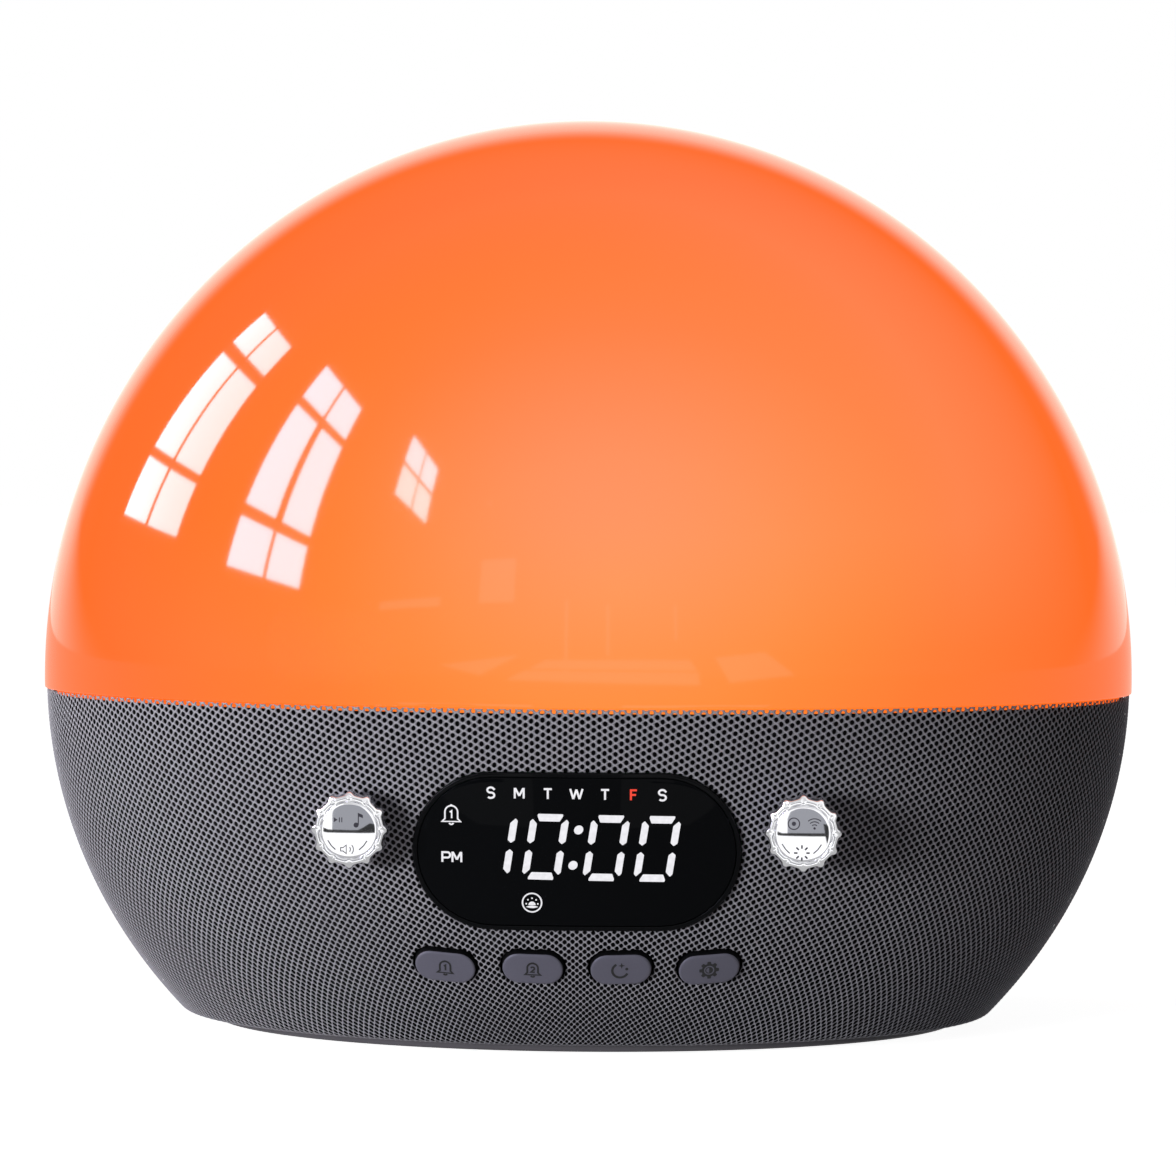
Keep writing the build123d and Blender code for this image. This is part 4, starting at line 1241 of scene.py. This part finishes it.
class ClockDisplay(bpy.types.PropertyGroup):
    """Sizes of what the display shows."""

    digit_spacing: FloatProperty(
        name="Digit Spacing", description="From one digit to the next in a pair, in millimetres",
        default=8.58,
    )
    colon_gap: FloatProperty(
        name="Colon Gap",
        description="From the digit before the colon to the one after it, in millimetres",
        default=10.22,
    )
    slant: FloatProperty(
        name="Slant", description="How far the digits lean, as a share of their height",
        default=0.143,
    )
    letter_height: FloatProperty(
        name="Letter Height", description="Height of the day letters, in millimetres", default=1.85
    )


class ClockStudio(bpy.types.PropertyGroup):
    """Camera and light."""

    camera_distance: FloatProperty(
        name="Camera Distance", description="From the clock's upright axis to the camera",
        default=757 * MM, unit="LENGTH",
    )
    camera_height: FloatProperty(
        name="Camera Height", description="Height of the camera over the table", default=97 * MM,
        unit="LENGTH",
    )
    camera_turn: FloatProperty(
        name="Camera Turn", description="How far the camera stands round to the clock's right",
        default=radians(1.4), unit="ROTATION",
    )
    camera_tilt: FloatProperty(
        name="Camera Tilt", description="How far the camera looks down", default=radians(1.27),
        unit="ROTATION",
    )
    camera_roll: FloatProperty(
        name="Camera Roll", description="How far the camera leans to its left",
        default=radians(0.35), unit="ROTATION",
    )
    lens: FloatProperty(name="Lens", description="Focal length in millimetres", default=125.5)
    room_light: FloatProperty(
        name="Room Light", description="Strength of the even light from all round", default=0.085
    )
    key_light: FloatProperty(
        name="Key Light", description="Power of the soft lamp in front on the left, in watts",
        default=37.5,
    )
    side_light: FloatProperty(
        name="Side Light", description="Power of the soft lamp on the left, in watts", default=13.0
    )


# ---- Operators ----


class CLOCK_OT_make_dome(bpy.types.Operator):
    """Make the lit dome"""

    bl_idname = "clock.make_dome"
    bl_label = "Make Dome"

    def execute(self, context):
        piece = new_piece("dome", *skin(oval_rings(dome_section())))
        finish_piece(piece, milky_acrylic(), "housing", ["diffuser_dome"])
        return {"FINISHED"}


class CLOCK_OT_make_sleeve(bpy.types.Operator):
    """Make the net sleeve round the lower body"""

    bl_idname = "clock.make_sleeve"
    bl_label = "Make Net Sleeve"

    def fold_shade_band(self, top_z=6 * MM):
        """A black band under the net where it is folded in under the shell: a dark sheet put in as
        painted shade behind the holes.
        """
        turn = np.linspace(0, 2 * pi, 240, endpoint=False)
        loops = []
        for inset in (FABRIC_INSET + 0.2 * MM, FABRIC_INSET + 0.45 * MM):
            wider = (HALF_WIDTH - inset) / (HALF_DEPTH - inset)
            loops.append(
                [
                    np.stack(
                        [depth * wider * np.cos(turn), depth * np.sin(turn), np.full(240, z)], 1
                    )
                    for depth, z in body_profile(inset, top_z, PLATE_RIM[1] + 0.3 * MM, steps=12)
                ]
            )
        return new_piece("sleeve_hem", *skin([*loops[0], *loops[1][::-1], loops[0][0]]))

    def execute(self, context):
        net = context.scene.clock_net
        profile = body_profile(FABRIC_INSET, SEAM_Z - 0.2 * MM, PLATE_RIM[1] + 0.3 * MM)
        squeeze = (HALF_DEPTH - FABRIC_INSET) / (HALF_WIDTH - FABRIC_INSET)
        deep, wide = profile[0][0], profile[0][0] / squeeze
        girth = pi * (3 * (wide + deep) - sqrt((3 * wide + deep) * (wide + 3 * deep)))
        length = np.linalg.norm(np.diff(profile, axis=0), axis=1).sum()
        panels = 4
        piece_columns = 2 * round(girth / net.column_spacing / panels / 2 - 0.5) + 1
        columns = panels * piece_columns
        rise = 2 * net.row_arch + net.row_fold
        first_row = -int(1.1 * rise / net.row_spacing) - 4
        rows = round(length / net.row_spacing) + 4 - first_row
        # The cloth itself, less its holes, in a panel that narrows to the base
        tree, yarn, cell = woven_net_tree(), net_yarn(), net_cell()
        # Painted shade: a black sheet behind the net's fold
        fold_shade = moulded("black_sheet_painted_shade", "#0A0A0C", 0.9, grain=0.6 * MM, specular=0.05)
        shade_band = self.fold_shade_band()
        finish_piece(shade_band, fold_shade, "housing", ["fabric_sleeve"])
        for panel in range(panels):
            curve = bpy.data.curves.new("half_section", "CURVE")
            curve.dimensions = "3D"
            spline = curve.splines.new("POLY")
            spline.points.add(len(profile) - 1)
            for point, (depth, z) in zip(spline.points, profile):
                point.co = (depth, 0.0, z, 1.0)
            base = new_object("half_section", curve)
            piece = grown(
                f"net_sleeve_{panel + 1}", base, tree, cell=cell,
                first_column=panel * piece_columns - piece_columns // 2,
                piece_columns=piece_columns, columns_round=columns, first_row=first_row, rows=rows,
                row_spacing=net.row_spacing, section_length=length, row_arch=net.row_arch,
                row_fold=net.row_fold, hole_depth=net.thread_relief, squeeze=squeeze, yarn=yarn,
            )
            cut_openings(piece)
            finish_piece(piece, yarn, "housing", ["fabric_sleeve"])
        bpy.data.objects.remove(cell)
        return {"FINISHED"}


class CLOCK_OT_make_display(bpy.types.Operator):
    """Make the display window, its bezel and what it shows"""

    bl_idname = "clock.make_display"
    bl_label = "Make Display"

    def execute(self, context):
        sizes = context.scene.clock_display
        edge = round_corner((0, -0.6), (0, 0.35), (-0.8, 0.35), 0.3, 5)
        inner = round_corner((-0.2, 0.35), (-0.8, 0.35), (-0.8, -0.4), 0.18, 4)
        ring = [(0, -4.8), *edge, *inner, (-0.8, -4.8), (0, -4.8)]
        bezel = raised_pad("display_ring", DISPLAY_FACE, DISPLAY_SIZE, np.array(ring) * MM)
        black = polished("polished_black_abs", "#08090B", 0.1, specular=0.06)
        finish_piece(bezel, black, "housing", ["display_bezel"])
        rim = round_corner((-0.85, -0.5), (-0.85, 0.2), (-2, 0.2), 0.25, 5)
        half = DISPLAY_SIZE[1] / 2 / MM
        middle = [(-grow, 0.2) for grow in np.linspace(2, half, 8)]
        section = [(-half, -1.8), (-0.85, -1.8), *rim, *middle]
        window = raised_pad("display_window", DISPLAY_FACE, DISPLAY_SIZE, np.array(section) * MM)
        glass = polished("polished_smoked_acrylic", "#08090B", 0.04, specular=0.03)
        finish_piece(window, glass, "housing", ["display_lens"])

        def onto(x, y):
            return DISPLAY_FACE.on_body(x, y, -LIT_RISE)

        pair = sizes.colon_gap / 2
        places = (-pair - sizes.digit_spacing, -pair, pair, pair + sizes.digit_spacing)
        time = []
        for figure, x in zip("1000", places):
            time += moved(digit(figure), (x, 0))
        time += dot((0, 3.05), 0.77) + dot((0, -3.05), 0.77)
        shapes = moved(slanted(time, sizes.slant), (-0.09, 0.9), turn=-0.8)
        for i, name in enumerate("SMTWTFS"):
            if name != "F":
                shapes += moved(
                    letter(name, sizes.letter_height, LETTER_STROKE),
                    (4.8 * (i - 3), 10.13 - 0.035 * i),
                )
        shapes += moved(letter("P", sizes.letter_height, LETTER_STROKE), (-22.0, -1.0))
        shapes += moved(letter("M", sizes.letter_height, LETTER_STROKE), (-20.2, -1.0))
        shapes += moved(bell("1", 0.3), (-21.1, 6.25), 0.9) + moved(sunrise(), (-7.5, -8.7))
        shown = marks("lit_figures", shapes, onto)
        finish_piece(shown, lit("lit_white_bars", "#F2F1F6", 1.0), "housing")
        friday = moved(letter("F", sizes.letter_height, LETTER_STROKE), (9.6, 9.95))
        red = marks("lit_day", friday, onto)
        finish_piece(red, lit("lit_red_bars", "#FF3E22", 1.0), "housing")
        return {"FINISHED"}


class CLOCK_OT_make_keys(bpy.types.Operator):
    """Make the four keys and their icons"""

    bl_idname = "clock.make_keys"
    bl_label = "Make Keys"

    def execute(self, context):
        cap = moulded(
            "moulded_slate_abs", "#535260", 0.5, grain=0.4 * MM, depth=0.006 * MM, mottle=0.03
        )
        # Painted shade: a black finish for the cap's sides, which sit in the shade of their opening
        skirt = moulded("key_sides_painted_shade", "#0B0B0D", 0.6, depth=0.004 * MM, specular=0.1)
        ink = moulded("printed_ink", "#161619", 0.5, depth=0.004 * MM)
        # The stem and the flange that holds the key in are flat, the cap follows the body
        stem = (3 * MM, 3 * MM)
        inner = [(stem, -1.5, -9), (stem, 0, -9), (stem, 0, -8)]
        inner += [(KEY_SIZE, 0.95, -8), (KEY_SIZE, 0.95, -7), (KEY_SIZE, 0, -7)]
        edge = round_corner((-0.12, -0.6), (-0.12, 0.42), (-1.6, 0.42), 0.45, 7)
        top = [(-0.9, 0.43), (-1.4, 0.44), (-2.0, 0.44), (-3.0, 0.44)]
        icons = {
            "alarm_1": moved(bell("1", 0.43), size=0.76),
            "alarm_2": moved(bell("2", 0.43), size=0.76), "sleep": moon(), "settings": gear(),
        }
        for name, face in KEY_FACES.items():
            rings = []
            for size, grow, out in inner:
                outline = pill_outline(size, grow * MM)
                rings.append(face.at(outline[:, 0], outline[:, 1], out * MM))
            for grow, rise in [(0, -1.2), *edge, *top]:
                outline = pill_outline(KEY_SIZE, grow * MM)
                rings.append(face.on_body(outline[:, 0], outline[:, 1], -rise * MM))
            key = new_piece(f"{name}_cap", *skin(rings))
            finish_piece(key, cap, f"{name}_key", [f"{name}_button"])
            # The cap's sides, up to its rounded edge, are black: painted shade from the opening
            # round the key
            key.data.materials.append(skirt)
            points = np.array([vertex.co[:] for vertex in key.data.vertices])
            distance, _ = pill_distance(face.seen(points)[:, :2], KEY_SIZE)
            for side in key.data.polygons:
                if distance[list(side.vertices)].min() > -0.15 * MM:
                    side.material_index = 1

            def onto(x, y, face=face):
                return face.on_body(x, y, -ICON_RISE)

            print_on = marks(f"{name}_icon", icons[name], onto)
            finish_piece(print_on, ink, f"{name}_key")
        return {"FINISHED"}


class CLOCK_OT_make_knobs(bpy.types.Operator):
    """Make the two toothed knobs, their face discs and icons"""

    bl_idname = "clock.make_knobs"
    bl_label = "Make Knobs"

    def execute(self, context):
        sizes = context.scene.clock_knobs
        chrome = polished("chrome_plated_abs", "#F4F4F7", 0.16, metallic=1.0, waviness=0.02 * MM)
        mirror = polished("chrome_plated_disc", "#F0F0F4", 0.05, metallic=1.0)
        ink = moulded("printed_ink_on_chrome", "#2C2A34", 0.4, depth=0.004 * MM)
        tree = ring_of_copies_tree()
        radius = KNOB_FACE_RADIUS
        signs = {
            "volume": moved(loudspeaker(), (-0.14, -3.2)) + moved(note(), (1.55, 1.75))
            + moved(play_and_pause(), (-1.8, 1.75)),
            "lamp": moved(sunburst(), (-0.23, -3.2)) + moved(waves(), (1.85, 0.95))
            + hoop((-1.6, 1.7), 0.95, 0.18) + dot((-1.6, 1.7), 0.36),
        }
        for name, x in KNOB_X.items():
            rim = grown(
                f"{name}_rim", knob_sector(sizes.teeth, sizes.tip_radius, sizes.root_radius), tree,
                count=sizes.teeth, centre=(x, KNOB_FRONT_Y, KNOB_Z), plating=chrome,
            )
            finish_piece(rim, chrome, f"{name}_dial", [f"{name}_knob"])

            def onto(u, v, x=x, lift=0.02 * MM):
                out = sizes.face_rise * (1 - (u * u + v * v) / radius**2) + lift
                return np.stack([x + u, KNOB_FRONT_Y - out, KNOB_Z + v], 1)

            rings = []
            turn = np.linspace(0, 2 * pi, 96, endpoint=False)
            for share in (1.0, 1.0, 0.985, 0.96, 0.9, 0.8, 0.68, 0.54, 0.4, 0.26, 0.12, 0.0):
                ring = onto(radius * share * np.cos(turn), radius * share * np.sin(turn), lift=0.0)
                rings.append(ring)
            rings[0][:, 1] += 0.6 * MM
            rings[1][:, 1] += 0.06 * MM
            rings[2][:, 1] += 0.015 * MM
            disc = new_piece(f"{name}_face_disc", *skin(rings))
            finish_piece(disc, mirror, f"{name}_dial", [f"{name}_knob_face"])
            printed = marks(f"{name}_signs", signs[name] + swing_marks(), onto)
            finish_piece(printed, ink, f"{name}_dial")
        return {"FINISHED"}


class CLOCK_OT_finish_frame(bpy.types.Operator):
    """Give the parts carried over from the frame their finishes"""

    bl_idname = "clock.finish_frame"
    bl_label = "Finish Carried-over Parts"

    def execute(self, context):
        finishes = {}
        for part in frame["record"]["subparts"]:
            slot, node = part["material_slot"], frame["nodes"][part["node"]]
            if slot not in SLOT_FINISHES:
                continue
            if slot not in finishes:
                finishes[slot] = SLOT_FINISHES[slot]()
            node.data.materials.clear()
            node.data.materials.append(finishes[slot])
        return {"FINISHED"}


def look_at(place, target):
    """The matrix of a lamp at a place, facing a target."""
    way = (Vector(target) - Vector(place)).to_track_quat("-Z", "Y")
    return Matrix.Translation(place) @ way.to_matrix().to_4x4()


def set_world(studio):
    """White surroundings for the eye, a room with soft levels for mirrors, and an even light."""
    world = bpy.data.worlds.new("studio")
    bpy.context.scene.world = world
    tree = cleared(world)
    way = add(tree, "ShaderNodeTexCoord").outputs["Generated"]
    along = add(tree, SPLIT, {0: way}).outputs
    # Darkest a little behind the clock, brighter to its front, and most of all up on its right
    first = add(tree, "ShaderNodeMapRange", {"Value": along["Z"], "To Min": 0.45, "To Max": 0.85})
    last = add(tree, "ShaderNodeMapRange", {"Value": along["Z"], "To Min": -0.45, "To Max": 0.15})
    front = add(
        tree, "ShaderNodeMapRange", {"Value": along["Y"], "From Min": first, "From Max": last}
    )
    side = add(
        tree, "ShaderNodeMapRange",
        {"Value": along["X"], "From Min": -1.0, "From Max": 1.0, "To Min": 0.1, "To Max": 1.3},
    )
    raised = add(
        tree, "ShaderNodeMapRange",
        {"Value": along["Z"], "From Min": 0.05, "From Max": 0.35, "To Min": 0.5, "To Max": side},
    )
    # The wall behind, whose light reaches farther round near the table
    edge = add(
        tree, "ShaderNodeMapRange",
        {"Value": along["Z"], "From Max": 0.15, "To Min": 0.15, "To Max": 0.68},
    )
    behind = add(
        tree, "ShaderNodeMapRange",
        {"Value": along["Y"], "From Min": edge, "From Max": 0.86, "To Min": 0.08, "To Max": 1.1},
        interpolation_type="SMOOTHSTEP",
    )
    room = add(tree, MATH, {0: front, 1: raised, 2: behind}, "MULTIPLY_ADD")
    path = add(tree, "ShaderNodeLightPath").outputs
    felt = add(
        tree, "ShaderNodeMapRange",
        {"Value": path["Is Glossy Ray"], "To Min": studio.room_light, "To Max": room},
    )
    seen = add(tree, MATH, {0: path["Is Camera Ray"], 1: path["Is Transmission Ray"]}, "MAXIMUM")
    level = add(tree, "ShaderNodeMapRange", {"Value": seen, "To Min": felt, "To Max": 1.0})
    sky = add(tree, "ShaderNodeBackground", {"Color": (1.0, 1.0, 1.0, 1.0), "Strength": level})
    add(tree, "ShaderNodeOutputWorld", {"Surface": sky})


def set_floor():
    """A white table top that runs out of sight."""
    reach = 30.0
    corners = [(x, y, 0) for x, y in rectangle(-reach, -reach, reach, reach)]
    floor = mesh_object("floor", corners, [(0, 1, 2, 3)])
    paper = bpy.data.materials.new("matt_white_paper")
    tree = cleared(paper)
    path = add(tree, "ShaderNodeLightPath").outputs
    # Mirrors see only the glow below, and not the lamps' bright patch
    white = add(
        tree, "ShaderNodeMapRange", {"Value": path["Is Glossy Ray"], "To Min": 0.8, "To Max": 0.0}
    )
    diffuse = add(tree, "ShaderNodeBsdfDiffuse", {"Color": white})
    # Painted light: a glow that stands for the light the floor throws up, as if lit from the front
    # on the left, so less of it goes up behind and on the right
    place = add(tree, "ShaderNodeTexCoord").outputs["Object"]
    towards = add(tree, VECTOR, {0: place, 1: (-0.6, -0.8, 0.0)}, "DOT_PRODUCT")
    thrown = add(
        tree, "ShaderNodeMapRange",
        {
            "Value": towards.outputs["Value"], "From Min": -0.1, "From Max": 0.3, "To Min": 0.02,
            "To Max": 0.26,
        },
    )
    mirrored = add(
        tree, "ShaderNodeMapRange",
        {"Value": path["Is Glossy Ray"], "To Min": thrown, "To Max": 0.5},
    )
    own = add(
        tree, "ShaderNodeMapRange",
        {"Value": path["Is Camera Ray"], "To Min": mirrored, "To Max": 0.94},
    )
    glow = add(tree, "ShaderNodeEmission", {"Strength": own})
    both = add(tree, "ShaderNodeAddShader", {0: diffuse, 1: glow})
    add(tree, "ShaderNodeOutputMaterial", {"Surface": both})
    floor.data.materials.append(paper)


def card(name, corners, level, colour=(1.0, 1.0, 1.0), reach=100.0):
    """A flat glowing sheet that only mirrors see, and only those within its reach."""
    sheet = mesh_object(name, corners, [tuple(range(len(corners)))])
    sheet.visible_camera = sheet.visible_diffuse = sheet.visible_shadow = False
    sheet.visible_transmission = sheet.visible_volume_scatter = False
    light = bpy.data.materials.new(name)
    tree = cleared(light)
    glow = add(tree, "ShaderNodeEmission", {"Color": (*colour, 1.0), "Strength": level})
    clear = add(tree, "ShaderNodeBsdfTransparent")
    away = add(tree, "ShaderNodeLightPath").outputs["Ray Length"]
    far = add(tree, MATH, {0: away, 1: reach}, "GREATER_THAN")
    shown = add(tree, "ShaderNodeMixShader", {0: far, 1: glow, 2: clear})
    add(tree, "ShaderNodeOutputMaterial", {"Surface": shown})
    sheet.data.materials.append(light)


# What each knob's face shows, across and up in millimetres: a figure in grey, and what is dark
FACE_VIEWS = {
    "volume": (
        [
            (-2.9, -0.2), (4.9, -0.2), (4.9, 1.0), (3.9, 2.6), (3.1, 3.9), (2.3, 4.9), (-1.6, 4.9),
            (-2.6, 4.0), (-2.9, 2.8),
        ],
        [
            [
                (-4.9, -0.3), (-3.9, -0.45), (4.9, -0.45), (4.9, 0.1), (0, 0.05), (-3.6, 0.1),
                (-4.9, 0.5),
            ],
            [(1.4, 0.0), (4.9, -0.2), (4.9, 1.0), (3.5, 1.2), (2.4, 0.5)],
        ],
    ),
    "lamp": (
        [
            (-2.7, -0.2), (3.9, -0.2), (4.3, 0.9), (3.9, 2.4), (3.0, 3.8), (1.8, 4.4), (-1.0, 4.4),
            (-2.2, 3.8), (-2.7, 2.5),
        ],
        [
            [
                (-4.9, -0.2), (-3.9, -0.35), (4.0, -0.45), (4.0, 0.1), (0, 0.15), (-3.6, 0.1),
                (-4.9, 0.5),
            ],
            [(3.4, 1.7), (4.7, 1.5), (4.3, -2.6), (3.9, -1.0)],
        ],
    ),
}


def furnish_room(studio):
    """What the gloss mirrors: windows on the left, and small things in front."""
    panes = []
    for left, right, colour, tiers in (
        (-0.35, 0.95, (0.97, 0.83, 0.95), ((0.95, 1.38), (1.46, 2.45), (2.6, 3.1))),
        (-2.6, -1.3, (0.97, 0.99, 1.27), ((0.88, 1.33), (1.45, 2.65), (2.78, 3.35))),
        (-5.75, -4.36, (0.97, 0.84, 0.98), ((2.72, 3.3),)),
        (-5.75, -4.36, (0.97, 0.92, 1.16), ((3.37, 3.95),)),
    ):
        for low, high in tiers:
            bar_width = 0.06 if high - low < 1.1 else 0.13
            middle = (left + right) / 2
            panes.append((left, middle - bar_width / 2, low, high, colour))
            panes.append((middle + bar_width / 2, right, low, high, colour))
    for i, (near, far, low, high, colour) in enumerate(panes):
        corners = [(WINDOW_X, y, z) for y, z in rectangle(near, low, far, high)]
        card(f"window_pane_{i + 1}", corners, WINDOW_GLOW, colour)
    shapes = {
        "left_shine": [(-0.352, 0.088), (-0.246, 0.066), (-0.151, 0.111)],
        "middle_shine": [(-0.185, 0.056), (0.265, 0.047), (0.262, 0.075), (-0.14, 0.077)],
        "upper_shine": [(-0.13, 0.081), (0.258, 0.079), (0.24, 0.103), (-0.093, 0.1)],
        "right_shine": [(0.304, 0.109), (0.344, 0.051), (0.547, 0.069), (0.447, 0.125)],
        "left_streak": rectangle(-0.049, 0.051, -0.043, 0.233),
        "middle_streak": rectangle(0.045, 0.11, 0.051, 0.223),
        "right_streak": rectangle(0.203, 0.147, 0.209, 0.227),
        "tall_shine": rectangle(-0.256, 0.23, -0.169, 0.335),
        "side_shine": rectangle(-0.554, 0.227, -0.36, 0.249),
        "spark": rectangle(-0.258, 0.486, -0.248, 0.496),
    }
    for name, outline in shapes.items():
        card(name, [(x, SHINE_Y, z) for x, z in outline], SHINE_GLOW)

    knobs = bpy.context.scene.clock_knobs
    eye_x = studio.camera_distance * sin(studio.camera_turn)
    for name, x in KNOB_X.items():

        def in_face(points, away, x=x):
            """Where points that are seen in a knob's face stand, at a distance in front of it."""
            bend = 4 * knobs.face_rise / KNOB_FACE_RADIUS**2
            share = away / (studio.camera_distance + KNOB_FRONT_Y)
            shift = (x - eye_x) * share, (KNOB_Z - studio.camera_height) * share
            spread = (1 + bend * away) * MM
            y = KNOB_FRONT_Y - away
            return [
                (x + shift[0] + spread * u, y, KNOB_Z + shift[1] + spread * v)
                for u, v in points
            ]

        figure, dark = FACE_VIEWS[name]
        ground = in_face(rectangle(-7, -5.3, 7, 5.2), 46 * MM)
        card(f"{name}_ground", ground, 1.25, reach=NEAR)
        card(f"{name}_figure", in_face(figure, 45 * MM), 0.4, (0.91, 0.93, 1.0), reach=NEAR)
        for i, outline in enumerate(dark):
            card(f"{name}_shade_{i + 1}", in_face(outline, (44 - i) * MM), 0.04, reach=NEAR)


class CLOCK_OT_set_studio(bpy.types.Operator):
    """Set the floor, the lamps, the surroundings and the camera"""

    bl_idname = "clock.set_studio"
    bl_label = "Set Studio"

    def execute(self, context):
        studio = context.scene.clock_studio
        scene = context.scene
        scene.view_settings.view_transform = "Standard"

        set_world(studio)
        set_floor()
        for name, place, size, power in (
            ("key_lamp", (-1.3, -1.45, 0.19), (0.8, 0.36), studio.key_light),
            ("side_lamp", (-1.9, 0.3, 0.5), (0.6, 0.6), studio.side_light),
        ):
            lamp = bpy.data.lights.new(name, "AREA")
            lamp.shape = "RECTANGLE"
            lamp.size, lamp.size_y = size
            lamp.energy = power
            shining = new_object(name, lamp)
            shining.matrix_world = look_at(place, (0, 0, 0.06))
            shining.visible_glossy = False
        furnish_room(studio)

        data = bpy.data.cameras.new("camera")
        data.lens = studio.lens
        data.sensor_width = 36
        data.clip_start, data.clip_end = 0.05, 100
        camera = new_object("camera", data)
        turn = studio.camera_turn
        away = studio.camera_distance
        place = Matrix.Translation((away * sin(turn), -away * cos(turn), studio.camera_height))
        aim = Matrix.Rotation(turn, 4, "Z") @ Matrix.Rotation(pi / 2 - studio.camera_tilt, 4, "X")
        camera.matrix_world = place @ aim @ Matrix.Rotation(studio.camera_roll, 4, "Z")
        scene.camera = camera
        return {"FINISHED"}


class CLOCK_PT_panel(bpy.types.Panel):
    """Lists the clock's settings and the steps that build it"""

    bl_label = "Sunrise Alarm Clock"
    bl_idname = "CLOCK_PT_panel"
    bl_space_type = "VIEW_3D"
    bl_region_type = "UI"
    bl_category = "Clock"

    def draw(self, context):
        for name, group in SETTINGS.items():
            box = self.layout.box()
            box.label(text=group.__name__.replace("Clock", ""))
            settings = getattr(context.scene, name)
            for key in group.__annotations__:
                box.prop(settings, key)
        for step in STEPS:
            self.layout.operator(step.bl_idname)


SETTINGS = {
    "clock_glow": ClockGlow, "clock_net": ClockNet, "clock_knobs": ClockKnobs,
    "clock_display": ClockDisplay, "clock_studio": ClockStudio,
}
STEPS = (
    CLOCK_OT_set_studio, CLOCK_OT_finish_frame, CLOCK_OT_make_dome, CLOCK_OT_make_sleeve,
    CLOCK_OT_make_display, CLOCK_OT_make_keys, CLOCK_OT_make_knobs,
)


def register():
    for group in (*SETTINGS.values(), *STEPS, CLOCK_PT_panel):
        bpy.utils.register_class(group)
    for name, group in SETTINGS.items():
        setattr(bpy.types.Scene, name, PointerProperty(type=group))


def unregister():
    for name in SETTINGS:
        delattr(bpy.types.Scene, name)
    for group in reversed((*SETTINGS.values(), *STEPS, CLOCK_PT_panel)):
        bpy.utils.unregister_class(group)


def main():
    register()
    for step in STEPS:
        group, name = step.bl_idname.split(".")
        getattr(getattr(bpy.ops, group), name)()


if __name__ == "__main__":
    main()
